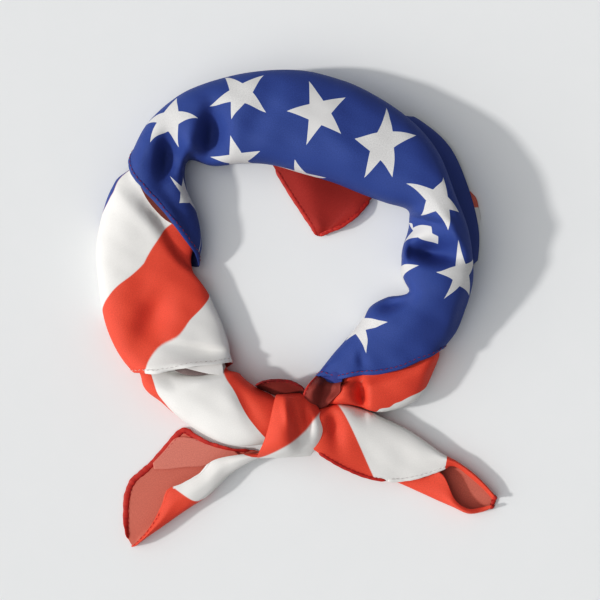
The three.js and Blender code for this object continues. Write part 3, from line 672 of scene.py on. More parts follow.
def lap_points(along, turn):
    """The inner lap from the knot to under the band, where it steps inward, and wider beside the
    band's hem."""
    station = LAP_END * along
    past = station - hem_station(BAND_LEFT_HEM, turn)
    wider = 4.4 * smooth(0.55, 0.72, turn) * gaussian((past + 0.55) / 0.45)
    return band(station, turn, LAYER_STEP * smooth(-1, -0.25, past) - wider, False), station


def core_points(along, turn):
    """The spiral core: an ellipse that shrinks as it turns, moved outward where the band is dented."""
    station = CORE_START + (CORE_END - CORE_START) * along
    row = rows_at(RING, station)
    span, reach = band_reach(row)
    low = WALL / 2 + np.maximum(0, row["under"])
    top = row["crown"] - WALL / 2
    dent = np.zeros_like(station)
    for i in range(len(FOLDS["station"])):
        dent = dent + FOLDS["depth"][i] * gaussian((station - FOLDS["station"][i]) / FOLDS["length"][i])
    wide = np.maximum(CORE_LEAST, reach - CORE_STEP - dent / 2 - np.abs(row["lean"]) / 2)
    high = np.maximum(CORE_LEAST, (top - low) / 2 - CORE_STEP - dent / 3)
    psi = np.radians(WRAP_START - 360 * CORE_TURNS * turn)
    left_over = 1 - 0.5 * CORE_TURNS * turn
    out = reach + dent / 2 + np.cos(psi) * np.maximum(CORE_NEAREST, wide * left_over)
    height = low + (top - low) * 0.48 + np.sin(psi) * np.maximum(CORE_NEAREST, high * left_over)
    points = np.stack([*on_line(row, "inner", "outer", (out + WALL / 2) / span), height], axis=-1)
    return points, station


def loop_points(along, across):
    """The knot's loop between its left and right edges: a parabola from its crest, which lies
    nearer the left edge, drooping more to the right."""
    row = rows_along(LOOP, along)
    crest, left_droop, right_droop = 0.36, 0.8, 1.4
    off = across - crest
    side = np.where(off < 0, left_droop * off / crest, right_droop * off / (1 - crest))
    height = row["height"] - row["droop"] * side * side
    return np.stack([*on_line(row, "left", "right", across), height], axis=-1)


def tuck_points(along, across):
    """The fold behind the loop, from its foot beside the strand up to its rim, cupped: the rise
    goes as 0.35 t + 0.65 t^3."""
    row = rows_along(TUCK, along)
    foot = 9.0
    height = foot + (row["height"] - foot) * (0.35 * across + 0.65 * across ** 3)
    return np.stack([*on_line(row, "foot", "rim", across), height], axis=-1)


def left_tail_points(along, across):
    """The left tail: hem, floor, crease, and back over to the flap's edge. Each point lies on the
    hem's or the flap's side, a share of the way out to the crease, at a share of the rise."""
    row = rows_along(LEFT_TAIL, along)
    section = rows_along(LEFT_SECTION, across)
    x, y = on_line(row, "hem", "flap", np.clip(section["flap"], 0, 1))
    x = x + (row["crease_x"] - x) * section["out"]
    y = y + (row["crease_y"] - y) * section["out"]
    height = row["base"] + WALL / 2 + section["up"] * (row["rise"] - WALL)
    height = height + section["lifted"] * (row["lift"] - WALL)
    return np.stack([x, y, np.maximum(WALL / 2, height)], axis=-1)


def right_tail_points(along, across):
    """The right tail's section: flap's hem, crease, floor, lower crease and the short flap.
    Each row's control points first, then the cubic through them across the sheet."""
    row = rows_along(RIGHT_TAIL, along[:, 0])
    control = []
    for start, end, share, rise, tuck in RIGHT_SECTION:
        z = row["base"] + WALL / 2 + rise * (row["rise"] - WALL - row["base"])
        z = z + tuck * (row["tuck"] - row["base"] - WALL)
        control.append(np.stack([*on_line(row, start, end, share), z], axis=-1))
    weights = spline_weights(len(RIGHT_SECTION), across[0] * (len(RIGHT_SECTION) - 1))
    points = np.einsum("jb,bik->ijk", weights, np.array(control))
    points[..., 2] = np.maximum(WALL / 2, points[..., 2])
    return points


def corner_points(along, across):
    """The loose corner: straight between its sides, with three Gaussian swells, the main one
    along its left side, and both sides lifted as the square of the distance from the other."""
    row = rows_along(CORNER, along)
    left = 5.4 * gaussian((across - 0.26 - 0.12 * along) / 0.3) * (1 - along) ** 1.3
    right = 1.3 * gaussian((across - 0.96) / 0.09) * np.sin(math.pi * along)
    low = 1.2 * gaussian((along - 0.72) / 0.12, (across - 0.45) / 0.3)
    swell = (left + right + low) * smooth(0, 0.2, along + 0.1)
    lift = row["left_lift"] * (1 - across) ** 2 + row["right_lift"] * across ** 2
    return np.stack([*on_line(row, "left", "right", across), WALL / 2 + swell + lift], axis=-1)


def seen_sheet(rows, n, m):
    """A surface through rows of control points, given by where they are seen and how high they
    lie: cubics through the points of each row, and through the rows."""
    control = np.array(rows, dtype=float)
    spots = (control[..., :2] - PICTURE / 2) * PIXEL * (1 - control[..., 2:] / EYE[2])
    control = np.stack([EYE[0] + spots[..., 0], EYE[1] - spots[..., 1], control[..., 2]], axis=-1)
    along, across = grid(n, m)
    rows_share = spline_weights(control.shape[0], along[:, 0] * (control.shape[0] - 1))
    points_share = spline_weights(control.shape[1], across[0] * (control.shape[1] - 1))
    return np.einsum("ia,jb,abk->ijk", rows_share, points_share, control), along, across


# Materials

BLUE = (0.050, 0.081, 0.256, 1)
RED = (0.750, 0.100, 0.064, 1)
# Painted shade: the print's red made darker for the loose corner, whose satin sheen is turned from the
# light.
RED_CORNER_SHADE = (0.330, 0.041, 0.033, 1)
WHITE = (0.800, 0.782, 0.752, 1)
STAR_WHITE = (0.660, 0.650, 0.640, 1)
BLUE_BACK = (0.060, 0.075, 0.240, 1)
RED_BACK = (0.600, 0.185, 0.140, 1)
WHITE_BACK = (0.700, 0.680, 0.660, 1)


class Nodes:
    """Short calls for the nodes of one material."""

    def __init__(self, name):
        self.material = bpy.data.materials.new(name)
        self.material.use_nodes = True
        self.tree = self.material.node_tree
        self.tree.nodes.clear()

    def node(self, kind, inputs, **settings):
        """A node's outputs, from its settings and a value or a link for some of its inputs."""
        node = self.tree.nodes.new("ShaderNode" + kind)
        for setting, value in settings.items():
            setattr(node, setting, value)
        for socket, value in inputs.items():
            if isinstance(value, bpy.types.NodeSocket):
                self.tree.links.new(value, node.inputs[socket])
            else:
                node.inputs[socket].default_value = value
        return node.outputs

    def math(self, operation, first, second=0.0, third=0.0):
        """Arithmetic on up to three values."""
        return self.node("Math", {0: first, 1: second, 2: third}, operation=operation)[0]

    def mix(self, share, first, second):
        """A share of the way from one colour to another."""
        return self.node("Mix", {0: share, 6: first, 7: second}, data_type="RGBA")[2]

    def noise(self, vector, scale, detail=3.0, rough=0.5):
        """Noise at a place, from 0 to 1."""
        return self.node("TexNoise", {
            "Vector": vector, "Scale": scale, "Detail": detail, "Roughness": rough})[0]

    def between(self, low, high, value):
        """Smoothly from 0 at the low value to 1 at the high one."""
        return self.node("MapRange", {
            "Value": value, "From Min": low, "From Max": high}, interpolation_type="SMOOTHSTEP")[0]

    def place(self, guide):
        """One of the mesh's guides, and its two coordinates."""
        vector = self.node("UVMap", {}, uv_map=guide)[0]
        split = self.node("SeparateXYZ", {0: vector})
        return vector, split[0], split[1]

    def bump(self, height, strength, distance):
        """The surface's normal, tilted by a height."""
        return self.node("Bump", {"Height": height, "Strength": strength, "Distance": distance})[0]

    def surface(self, **inputs):
        """The finished material, from the shader's inputs."""
        inputs = {name.replace("_", " "): value for name, value in inputs.items()}
        self.node("OutputMaterial", {0: self.node("BsdfPrincipled", inputs)[0]})
        return self.material


def off_lattice(n, value, first, last, step):
    """How far a value lies past the nearest of first, first + 2 and so on to last, times a step."""
    at = n.math("ROUND", n.math("MULTIPLY", n.math("SUBTRACT", value, first), 0.5))
    at = n.math("MINIMUM", n.math("MAXIMUM", at, 0), (last - first) / 2)
    return n.math("MULTIPLY", n.math("SUBTRACT", value, n.math("MULTIPLY_ADD", at, 2, first)), step)


def star_mask(n, across, up, columns, rows):
    """White stars on one lattice: the nearest lattice point, then the pentagram's edge, where
    distance times (cos a + tan 72 sin a) equals the radius in each folded tenth of a turn."""
    dx = off_lattice(n, across, *columns, STAR_COLUMN)
    dy = off_lattice(n, up, *rows, -STAR_ROW)
    far = n.math("SQRT", n.math("MULTIPLY_ADD", dx, dx, n.math("MULTIPLY", dy, dy)))
    angle = n.math("ARCTAN2", dx, dy)
    fifth = 2 * math.pi / 5
    folded = n.math("FLOORED_MODULO", n.math("ADD", angle, fifth / 2), fifth)
    folded = n.math("ABSOLUTE", n.math("SUBTRACT", folded, fifth / 2))
    edge = n.math("MULTIPLY_ADD", n.math("SINE", folded), math.tan(fifth), n.math("COSINE", folded))
    return n.between(STAR_RADIUS + 0.15, STAR_RADIUS - 0.15, n.math("MULTIPLY", far, edge))


def satin(name, back, scarlet=RED):
    """Satin with the flag print of the whole square, read from each piece's place on the cloth:
    red where the stripe's number is even, the canton over it, and the stars over that. Grain and
    patches of noise vary its lightness, and two crossed sines with the grain are its weave."""
    n = Nodes(name)
    _, x, y = n.place("cloth")
    odd = n.math("FLOORED_MODULO", n.math("MULTIPLY", y, STRIPES), 2.0)
    soft = 0.012
    red = n.math("MULTIPLY", n.between(-soft, soft, odd), n.between(1 + soft, 1 - soft, odd))
    red = n.math("MAXIMUM", red, n.between(2 - soft, 2 + soft, odd))
    edge = 0.001
    canton = n.math("MULTIPLY", n.between(CANTON_ACROSS + edge, CANTON_ACROSS - edge, x),
                    n.between(CANTON_UP - edge, CANTON_UP + edge, y))
    across = n.math("MULTIPLY", x, SIDE / STAR_COLUMN)
    up = n.math("MULTIPLY", n.math("SUBTRACT", 1.0, y), SIDE / STAR_ROW)
    stars = n.math("MAXIMUM", star_mask(n, across, up, (1, 11), (1, 9)),
                   star_mask(n, across, up, (2, 10), (2, 8)))
    stars = n.math("MULTIPLY", stars, n.between(0.45, 0.55, n.place("stars")[1]))
    blue, scarlet, white = (BLUE_BACK, RED_BACK, WHITE_BACK) if back else (BLUE, scarlet, WHITE)
    colour = n.mix(canton, n.mix(red, white, scarlet), n.mix(stars, blue, STAR_WHITE))

    thread, thread_x, thread_y = n.place("weave")
    grain = n.noise(thread, 900.0, rough=0.7)
    patch = n.noise(thread, 22.0)
    inked = n.math("MAXIMUM", red, n.math("MULTIPLY", canton, n.math("SUBTRACT", 1.0, stars)))
    grained = n.math("MULTIPLY_ADD", inked, 0.55, 0.2)
    grained = n.math("MULTIPLY_ADD", n.math("SUBTRACT", grain, 0.5), grained, 1.0)
    grained = n.math("MULTIPLY_ADD", n.math("SUBTRACT", patch, 0.5), 0.10, grained)
    colour = n.node("HueSaturation", {"Value": grained, "Color": colour})[0]

    turns = 2 * math.pi * SIDE / THREAD_STEP
    weave = n.math("MULTIPLY", n.math("SINE", n.math("MULTIPLY", thread_x, turns)),
                   n.math("SINE", n.math("MULTIPLY", thread_y, turns)))
    height = n.math("MULTIPLY_ADD", grain, 1.6, weave)
    rough = n.math("MULTIPLY_ADD", grain, 0.25, 0.55 if back else 0.36)
    return n.surface(Base_Color=colour, Normal=n.bump(height, 0.35, 0.00012), Roughness=rough,
                     Specular_IOR_Level=0.1 if back else 0.14)


def plain_cloth(name, colour, dark, scale, rough):
    """Hem or thread: one colour mottled with a darker one by noise, which is its bump too."""
    n = Nodes(name)
    mottle = n.noise(n.place("cloth")[0], scale, rough=0.6)
    return n.surface(Base_Color=n.mix(n.between(0.35, 0.75, mottle), colour, dark),
                     Normal=n.bump(mottle, 0.5, 0.0002),
                     Roughness=n.math("MULTIPLY_ADD", mottle, 0.2, rough))


SATIN = satin("satin_print", False)
SATIN_BACK = satin("satin_back", True)
# Painted shade: the loose corner's red, darker than the print's.
SATIN_CORNER_SHADE = satin("satin_corner_shade", False, RED_CORNER_SHADE)
# Painted shade: dark brown red for the lower layer under the wrap's left hem.
SATIN_SHADE = satin("satin_shade", False, (0.200, 0.062, 0.050, 1))
# Painted shade: grey brown for the hollow under the band's left hem.
SATIN_GAP_SHADE = satin("satin_gap_shade", False, (0.230, 0.175, 0.170, 1))
# Painted shade: dark red for the inside of the roll and the fold behind the loop.
SATIN_INSIDE_SHADE = satin("satin_inside_shade", False, (0.270, 0.064, 0.052, 1))
SATIN_FOLD = satin("satin_fold", False, (0.620, 0.215, 0.170, 1))
THREAD_RED = plain_cloth("thread_red", (0.42, 0.02, 0.03, 1), (0.24, 0.01, 0.02, 1), 600, 0.6)
THREAD_WHITE = plain_cloth("thread_white", (0.62, 0.58, 0.56, 1), (0.45, 0.40, 0.38, 1), 600, 0.6)
# Painted shade: a darker red hem for the rim of the fold behind the loop.
HEM_SHADE = plain_cloth("hem_shade", (0.22, 0.012, 0.012, 1), (0.12, 0.006, 0.008, 1), 300, 0.6)
HEM_RED = plain_cloth("hem_red", (0.50, 0.035, 0.022, 1), (0.33, 0.018, 0.014, 1), 300, 0.5)


# Meshes

def unit(vectors):
    """Vectors at length one."""
    length = np.linalg.norm(vectors, axis=-1, keepdims=True)
    return vectors / np.maximum(length, 1e-9)


def linked(name, data):
    """A new object in the scene."""
    piece = bpy.data.objects.new(name, data)
    bpy.context.scene.collection.objects.link(piece)
    return piece


def face_outward(mesh):
    """Turns a closed mesh's faces outward if its signed volume, the sum over its triangles of
    a . (b x c), is below zero."""
    mesh.calc_loop_triangles()
    corners = np.zeros(len(mesh.loop_triangles) * 3, dtype=np.int32)
    mesh.loop_triangles.foreach_get("vertices", corners)
    places = np.zeros(len(mesh.vertices) * 3, dtype=np.float32)
    mesh.vertices.foreach_get("co", places)
    a, b, c = np.moveaxis(places.reshape(-1, 3)[corners.reshape(-1, 3)], 1, 0)
    if np.sum(a * np.cross(b, c)) < 0:
        mesh.flip_normals()


def make_mesh(name, vertices, faces, guides, materials, slots=None):
    """A smooth mesh object from vertices in millimetres, faces, and for each guide a place for
    every vertex. Without slots it is one closed form, whose faces are turned outward."""
    mesh = bpy.data.meshes.new(name)
    mesh.from_pydata((vertices * MM).tolist(), [], faces)
    loops = np.zeros(len(mesh.loops), dtype=np.int32)
    mesh.loops.foreach_get("vertex_index", loops)
    for guide, places in guides.items():
        layer = mesh.uv_layers.new(name=guide)
        layer.data.foreach_set("uv", places[loops].ravel().astype(np.float32))
    for material in materials:
        mesh.materials.append(material)
    mesh.polygons.foreach_set("use_smooth", np.ones(len(mesh.polygons), dtype=bool))
    if slots is not None:
        mesh.polygons.foreach_set("material_index", slots.astype(np.int32))
    mesh.update()
    if slots is None:
        face_outward(mesh)
    return linked(name, mesh)


# Each sheet's points and places on the cloth, for its hems.
SHEETS = {}


def sheet_mesh(name, points, cloth, printed_up=True, materials=None, starry=None):
    """A closed sheet of cloth about a grid of points: the printed side on the side of the
    grid's normal (or the other), the paler back on the other, and a rim round the edge."""
    cloth = cloth / SIDE
    SHEETS[name] = points, cloth
    rows, columns = points.shape[:2]
    across = np.gradient(points, axis=1)
    normal = unit(np.cross(np.gradient(points, axis=0), across))
    top = points + normal * CLOTH / 2
    bottom = points - normal * CLOTH / 2
    top[..., 2] = np.maximum(top[..., 2], 0.02)
    bottom[..., 2] = np.maximum(bottom[..., 2], 0.0)
    count = rows * columns
    index = np.arange(count).reshape(rows, columns)
    a, b, c, d = index[:-1, :-1], index[1:, :-1], index[1:, 1:], index[:-1, 1:]
    upper = np.stack([a, b, c, d], axis=-1).reshape(-1, 4)
    lower = upper[:, ::-1] + count
    rims = []
    for line in (index[::-1, 0], index[:, -1], index[0], index[-1, ::-1]):
        rims.append(np.stack([line[:-1], line[1:], line[1:] + count, line[:-1] + count], axis=-1))
    rim = np.concatenate(rims)
    run = np.cumsum(np.linalg.norm(np.gradient(points[:, columns // 2], axis=0), axis=1))
    arc = np.cumsum(np.linalg.norm(across, axis=2), axis=1)
    weave = np.stack([np.broadcast_to(run[:, None], arc.shape), arc], axis=-1) / SIDE
    starry = np.zeros((rows, columns)) if starry is None else starry
    guides = {"cloth": cloth, "weave": weave, "stars": np.stack([starry, starry], axis=-1)}
    guides = {guide: np.concatenate([places.reshape(-1, 2)] * 2) for guide, places in guides.items()}
    vertices = np.concatenate([top.reshape(-1, 3), bottom.reshape(-1, 3)])
    front, back = (0, 1) if printed_up else (1, 0)
    slots = np.repeat([front, back, 0], [len(upper), len(lower), len(rim)])
    faces = np.concatenate([upper, lower, rim]).tolist()
    return make_mesh(name, vertices, faces, guides, materials or (SATIN, SATIN_BACK), slots)


def small_sheet(name, rows, size, cloth, both=None, creases=0.0, printed_up=True):
    """A sheet through rows of control points, perhaps of one material on both sides. Each of its
    two places on the cloth is given as a start and the runs along and across the grid."""
    points, along, across = seen_sheet(rows, *size)
    if creases:
        points = creased(points, creases, 3.0)
    cloth = np.stack([start + run * along + way * across for start, run, way in cloth], axis=-1)
    return sheet_mesh(name, points, cloth, printed_up, both and (both, both))


def edge_of(data, side, inward=0):
    """The line of a grid's data along one of its edges, or some lines inward from it."""
    return {"start": data[inward], "end": data[-1 - inward],
            "left": data[:, inward], "right": data[:, -1 - inward]}[side]


def stretch(line, first, last):
    """A line between two shares of its length."""
    return line[int(first * (len(line) - 1)):int(last * (len(line) - 1)) + 1]


def edge_frame(points, side):
    """One edge of a grid as a line of points, with its directions along, away from the sheet and
    square to the surface."""
    line = edge_of(points, side)
    tangent = unit(np.gradient(line, axis=0))
    away = line - edge_of(points, side, 1)
    away = unit(away - tangent * np.sum(away * tangent, axis=1, keepdims=True))
    return line, tangent, away, np.cross(tangent, away)


def hem_mesh(name, edge, cloth, width, thick, inward, material):
    """A rolled hem: an ellipse swept along an edge, closed at both ends, its size made a little
    uneven by the product of two sines and rounded off over its last three rings."""
    line, _, away, normal = edge
    sides = 14
    angle = np.linspace(0, 2 * math.pi, sides, endpoint=False)
    place = np.arange(len(line))
    swell = 1 + 0.12 * np.sin(place * 0.9) * np.sin(place * 0.37 + 1)
    ends = np.minimum(1, np.minimum(place + 0.6, len(line) - 0.4 - place) / 3) ** 0.5
    swell = (swell * ends)[:, None, None]
    ring = (np.cos(angle)[None, :, None] * away[:, None, :] * width / 2
            + np.sin(angle)[None, :, None] * normal[:, None, :] * thick / 2) * swell
    vertices = (line[:, None, :] - away[:, None, :] * inward + ring).reshape(-1, 3)
    vertices[:, 2] = np.maximum(vertices[:, 2], 0.0)
    vertices = np.concatenate([vertices, line[[0, -1]] - away[[0, -1]] * inward])
    index = np.arange(len(line) * sides).reshape(len(line), sides)
    after = np.roll(index, -1, axis=1)
    quads = np.stack([index[:-1], after[:-1], after[1:], index[1:]], axis=-1).reshape(-1, 4)
    first = np.full(sides, len(line) * sides)
    caps = np.concatenate([np.stack([first, after[0], index[0]], axis=-1),
                           np.stack([first + 1, index[-1], after[-1]], axis=-1)])
    twist = np.stack([np.repeat(place * 1.0, sides), np.tile(angle * width / 2, len(line))], axis=-1)
    twist = np.concatenate([twist, twist[[0, -1]]]) / SIDE
    guides = {"cloth": np.concatenate([np.repeat(cloth, sides, axis=0), cloth[[0, -1]]]), "weave": twist}
    return make_mesh(name, vertices, quads.tolist() + caps.tolist(), guides, (material,))


def stitch_mesh(name, edge, back, height, material):
    """Stitches along a hem: short grains with round ends, every step, a set way back from the
    edge. Each is five rings of six vertices, of radius sqrt(1 - share^2) along its length."""
    run = np.concatenate([[0], np.cumsum(np.linalg.norm(np.diff(edge[0], axis=0), axis=1))])
    places = np.arange(STITCH_STEP, run[-1] - STITCH_STEP / 2, STITCH_STEP)
    line, tangent, away, normal = (
        np.stack([np.interp(places, run, data[:, i]) for i in range(3)], axis=-1) for data in edge)
    rings, sides = 5, 6
    centre = line - away * back + normal * height
    sway = np.where(np.arange(len(places)) % 2, 0.25, -0.25)[:, None]
    aim = unit(tangent + away * sway)
    share = np.linspace(-1, 1, rings)
    girth = STITCH_THICK / 2 * np.sqrt(np.maximum(0.05, 1 - share * share))
    angle = np.linspace(0, 2 * math.pi, sides, endpoint=False)
    spoke = away[:, None, :] * np.cos(angle)[:, None] + normal[:, None, :] * np.sin(angle)[:, None]
    reach = (share * STITCH_LENGTH / 2)[:, None, None]
    vertices = (centre[:, None, None, :] + aim[:, None, None, :] * reach
                + spoke[:, None, :, :] * girth[:, None, None])
    index = np.arange(len(places) * rings * sides).reshape(len(places), rings, sides)
    after = np.roll(index, -1, axis=2)
    walls = np.stack([index[:, :-1], after[:, :-1], after[:, 1:], index[:, 1:]], axis=-1).reshape(-1, 4)
    faces = walls.tolist() + index[:, 0, ::-1].tolist() + index[:, -1].tolist()
    vertices = vertices.reshape(-1, 3)
    vertices[:, 2] = np.maximum(vertices[:, 2], 0.0)
    return make_mesh(name, vertices, faces, {"cloth": vertices[:, :2] / SIDE}, (material,))


def own(piece, slot, *nodes):
    """Puts a piece on the body, in place of the part's nodes. The slot is not used."""
    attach(piece, "root")
    if nodes:
        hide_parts(*nodes)
    return piece


# Camera and light

camera = linked("camera", bpy.data.cameras.new("camera"))
camera.location = EYE * MM
camera.data.sensor_width = 36.0
camera.data.lens = camera.data.sensor_width * EYE[2] / (PICTURE * PIXEL)
camera.data.clip_start = 0.05
camera.data.clip_end = 20.0
bpy.context.scene.camera = camera


def sun(name, energy, size, rise, turn, color):
    """A sun of some width, some degrees above the floor on the left, turned about the upright."""
    lamp = linked(name, bpy.data.lights.new(name, "SUN"))
    lamp.data.energy = energy
    lamp.data.angle = math.radians(size)
    lamp.data.color = color
    lamp.rotation_euler = (0, math.radians(-(90 - rise)), math.radians(turn))


sun("key", 1.95, 4, 34, 7, (1.0, 0.985, 0.965))
sun("fill", 1.42, 80, 48, 12, (1, 1, 1))

world = bpy.data.worlds.new("studio")
world.use_nodes = True
world.node_tree.nodes["Background"].inputs[0].default_value = (0.93, 0.96, 1.0, 1)
world.node_tree.nodes["Background"].inputs[1].default_value = 0.31
bpy.context.scene.world = world

# The contrast of a product photograph: scene light in, picture light out.
TONES = ((0, 0), (0.05, 0.026), (0.1, 0.068), (0.26, 0.235), (0.39, 0.39), (0.77, 0.77), (1, 1))
view = bpy.context.scene.view_settings
view.view_transform = "Standard"
view.use_curve_mapping = True
curve = view.curve_mapping.curves[3]
curve.points[0].location, curve.points[1].location = TONES[0], TONES[-1]
for tone in TONES[1:-1]:
    curve.points.new(*tone)
view.curve_mapping.update()

floor_mesh = bpy.data.meshes.new("floor")
corners = [(-4, -4), (4, -4), (4, 4), (-4, 4)]
floor_mesh.from_pydata([(x, y, -0.0005) for x, y in corners], [], [(0, 1, 2, 3)])
n = Nodes("floor_paint")
mottle = n.noise(n.node("NewGeometry", {})["Position"], 60.0)
floor_mesh.materials.append(n.surface(
    Base_Color=n.mix(mottle, (0.79, 0.80, 0.80, 1), (0.81, 0.815, 0.815, 1)), Roughness=0.85))
linked("floor", floor_mesh)

# Starry wrap
along, across = grid(320, 108)
wrap, station = wrap_points(along, across)
wrap_cloth, place = cloth_of(wrap, station, WRAP_PRINT, 0.95)
wrap = press(wrap)
wrap_cloth, starry = starred(wrap, wrap_cloth, place, across)
wrap_cloth = np.clip(wrap_cloth, (0.5, 258), (297, 549))
wrap = creased(wrap, 0.30, 1.0)
piece = own(sheet_mesh("wrap_satin", wrap, wrap_cloth, starry=starry),
            "starry_satin", "starry_wrap")

# Striped band
along, across = grid(280, 90)
striped, station = striped_points(along, across)
band_cloth, place = cloth_of(striped, station, BAND_PRINT, 1.1)
band_cloth = pinned(striped, band_cloth, place, BAND_PINS, 26.0)
band_cloth[..., 0] = np.where(station > 25, 330.0, band_cloth[..., 0])
striped = creased(striped, 0.30, 1.0)
piece = own(sheet_mesh("band_satin", striped, band_cloth), "striped_satin", "striped_band")

# Inner lap
along, across = grid(100, 80)
lap, station = lap_points(along, across)
lap_cloth, place = cloth_of(lap, station, LAP_PRINT, 1.0)
lap = press(lap)
lap_cloth = pinned(lap, lap_cloth, place, LAP_PINS, 24.0)
lap = creased(lap, 0.30, 1.0)
piece = own(sheet_mesh("lap_satin", lap, lap_cloth), "striped_satin", "inner_lap")

# Core of the roll
along, across = grid(120, 40)
core, station = core_points(along, across)
core_cloth, _ = cloth_of(core, station, LAP_PRINT, 1.0)
core = press(core, 0.12)
piece = own(sheet_mesh("core_satin", core, core_cloth), "red_satin", "roll_core")

# Loop of the knot: its print runs nearly along it, and its own frame is 60 by 26.
along, across = grid(80, 60)
loop = press(loop_points(along, across))
up_cloth = 34 + 30 * (along - 0.45) - 12 * (0.5 - across)
loop_cloth = np.stack([np.full_like(along, 100.0), up_cloth], axis=-1)
place = np.stack([along * 60, across * 26], axis=-1)
loop_cloth = pinned(loop, loop_cloth, place, LOOP_PINS, 14.0)
loop = creased(loop, 0.25, 2.0)
piece = own(sheet_mesh("loop_satin", loop, loop_cloth), "red_satin", "knot_loop")

# Fold behind the loop, in a dark red that is painted shade
along, across = grid(36, 24)
tuck = tuck_points(along, across)
tuck_cloth = np.stack([55 + 25 * along, 11 + 12 * across], axis=-1)
piece = own(sheet_mesh("tuck_satin", tuck, tuck_cloth, materials=(SATIN_INSIDE_SHADE, SATIN_INSIDE_SHADE)),
            "red_satin", "knot_tuck")

# Left tail: a corner of the cloth, so each point's place is its distance from the tip, a little
# more than in plan, and an angle across the fold.
along, across = grid(120, 120)
left_tail = left_tail_points(along, across)
tip = left_tail[-1].mean(axis=0)
far = np.linalg.norm(left_tail[..., :2] - tip[:2], axis=-1) * 1.1
theta = np.radians(np.interp(across, (0, 0.45, 0.55, 1), (2, 54, 60, 90)))
tail_cloth = np.stack([far * np.cos(theta), far * np.sin(theta)], axis=-1)
left_tail = creased(left_tail, 0.25, 3.0)
piece = own(sheet_mesh("left_tail_satin", left_tail, tail_cloth, printed_up=False),
            "striped_satin", "left_tail")

# Right tail: the border of its white stripe runs through a point in plan, square to a direction,
# and 37 mm of it seen are 42.3 mm of flat cloth. The under layer and the open tip are red.
along, across = grid(120, 120)
right_tail = press(right_tail_points(along, across))
off = (right_tail[..., 0] - 21.8) * 0.897 + (right_tail[..., 1] + 50.1) * 0.443
right_cloth = np.stack([480 + 30 * across, 465.4 + off * 42.3 / 37.0], axis=-1)
place = np.stack([along * 110, across * 90], axis=-1)
right_cloth = pinned(right_tail, right_cloth, place, FLAP_PINS, 22.0)
in_white, in_red = 506.0, 530.0
under_layer, open_tip = across > 0.42, along > 0.64
right_cloth[..., 1] = np.where(under_layer | open_tip, in_red, np.minimum(right_cloth[..., 1], in_white))
right_tail = creased(right_tail, 0.25, 4.0)
piece = own(sheet_mesh("right_tail_satin", right_tail, right_cloth), "striped_satin", "right_tail")

# Loose corner, in the print's red painted darker as shade
along, across = grid(60, 60)
corner = corner_points(along, across)
corner_cloth = np.stack([500 + 44 * across, 6 + 30 * (1 - along)], axis=-1)
corner = creased(corner, 0.2, 5.0)
piece = own(sheet_mesh("corner_satin", corner, corner_cloth, materials=(SATIN_CORNER_SHADE, SATIN_BACK)),
            "red_satin", "corner_flap")

# Small sheets that show between the others.
piece = small_sheet("pocket_satin", POCKET, (40, 40), ((60, 20, 0), (10, 0, 20)), SATIN_INSIDE_SHADE)
own(piece, "red_satin")

piece = small_sheet("under_wrap_satin", UNDER_WRAP, (30, 12), ((5, 2, 0), (300, 0, 10)))
own(piece, "starry_satin")

piece = small_sheet("under_hem_satin", UNDER_HEM, (30, 16), ((100, 28, 0), (10, 0, 12)), SATIN_SHADE)
own(piece, "striped_satin")

piece = small_sheet("hem_gap_shade_sheet", HEM_GAP, (40, 20), ((200, 20, 0), (10, 0, 10)), SATIN_GAP_SHADE)
own(piece, "striped_satin")

piece = small_sheet("hem_turn_satin", HEM_TURN, (40, 16), ((200, 20, 0), (60, 0, 10)))
own(piece, "striped_satin")

piece = small_sheet(
    "left_tail_fold_satin", TAIL_FOLD, (60, 24), ((60, 33, 0), (12, 0, 13)), SATIN_FOLD, creases=0.2)
own(piece, "striped_satin")

piece = small_sheet(
    "outer_stripes_satin", OUTER_STRIPES, (30, 20), ((400, 0, 14), (453.5, 24, 0)), printed_up=False)
own(piece, "striped_satin")

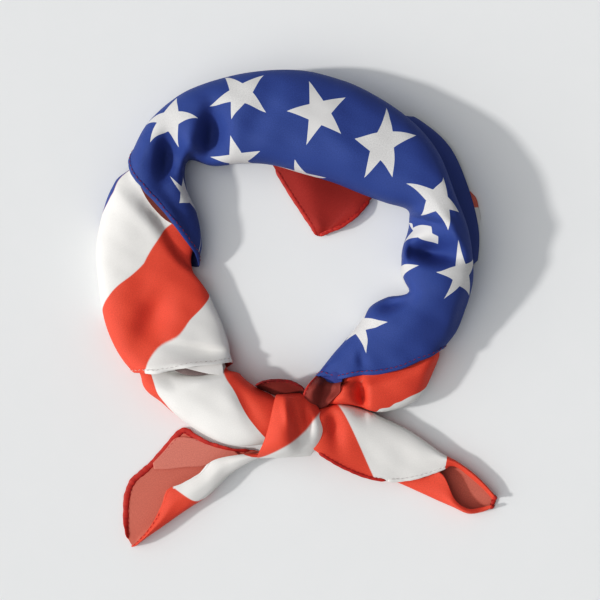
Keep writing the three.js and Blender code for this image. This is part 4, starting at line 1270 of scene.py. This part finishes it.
# Hems and their stitches: the sheet, its edge and the stretch of it, width, thickness and how far
# inward, the material, the thread, and the stretch of the hem that is sewn.
HEMS = (
    ("hem_wrap_left", "wrap", "start", 0.05, 0.95, 2.6, 1.0, 0.3, SATIN, THREAD_RED, 0, 1),
    ("hem_wrap_right", "wrap", "end", 0.05, 0.8, 2.6, 1.0, 0.3, SATIN, THREAD_RED, 0, 1),
    ("hem_band_left", "band", "start", 0.06, 0.94, 2.6, 1.0, 0.3, SATIN, THREAD_WHITE, 0, 1),
    ("hem_left_tail", "left_tail", "left", 0.02, 1, 3.4, 1.3, 0.2, HEM_RED, THREAD_RED, 0, 1),
    ("hem_left_flap", "left_tail", "right", 0.2, 0.98, 1.5, 0.9, 0.2, SATIN, THREAD_RED, 0.5, 1),
    ("hem_right_flap", "right_tail", "left", 0.36, 0.66, 2.2, 1.0, 0.2, SATIN, THREAD_WHITE, 0, 1),
    ("hem_right_start", "right_tail", "left", 0.04, 0.355, 1.9, 1.1, 0.2, HEM_RED, THREAD_RED, 0, 1),
    ("hem_tuck", "tuck", "right", 0.02, 0.98, 1.5, 1.1, 0.2, HEM_SHADE, THREAD_RED, 0.1, 0.9),
    ("hem_pocket", "pocket", "left", 0.0, 1, 1.2, 1.0, 0.2, HEM_RED, THREAD_RED, 0.1, 0.9),
    ("hem_right_tip", "right_tail", "end", 0.1, 0.95, 2.4, 1.2, 0.2, HEM_RED, THREAD_RED, 0, 1),
    ("hem_corner_left", "corner", "left", 0.22, 0.99, 2.2, 1.0, 0.2, HEM_RED, THREAD_RED, 0, 1),
    ("hem_corner_right", "corner", "right", 0.22, 0.99, 2.2, 1.0, 0.2, HEM_RED, THREAD_RED, 0, 1),
)
for name, sheet, side, first, last, width, thick, inward, material, thread, sewn, unsewn in HEMS:
    points, cloth = SHEETS[sheet + "_satin"]
    edge = [stretch(line, first, last) for line in edge_frame(points, side)]
    cloth = stretch(edge_of(cloth, side), first, last)
    piece = hem_mesh(name + "_roll", edge, cloth, width, thick, inward, material)
    own(piece, "hem_thread", *([name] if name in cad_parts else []))
    height = np.sign(edge[3][:, 2].mean()) * (thick / 2 + STITCH_PROUD)
    edge = [stretch(line, sewn, unsewn) for line in edge]
    own(stitch_mesh(name + "_stitches", edge, inward + STITCH_BACK, height, thread), "hem_thread")
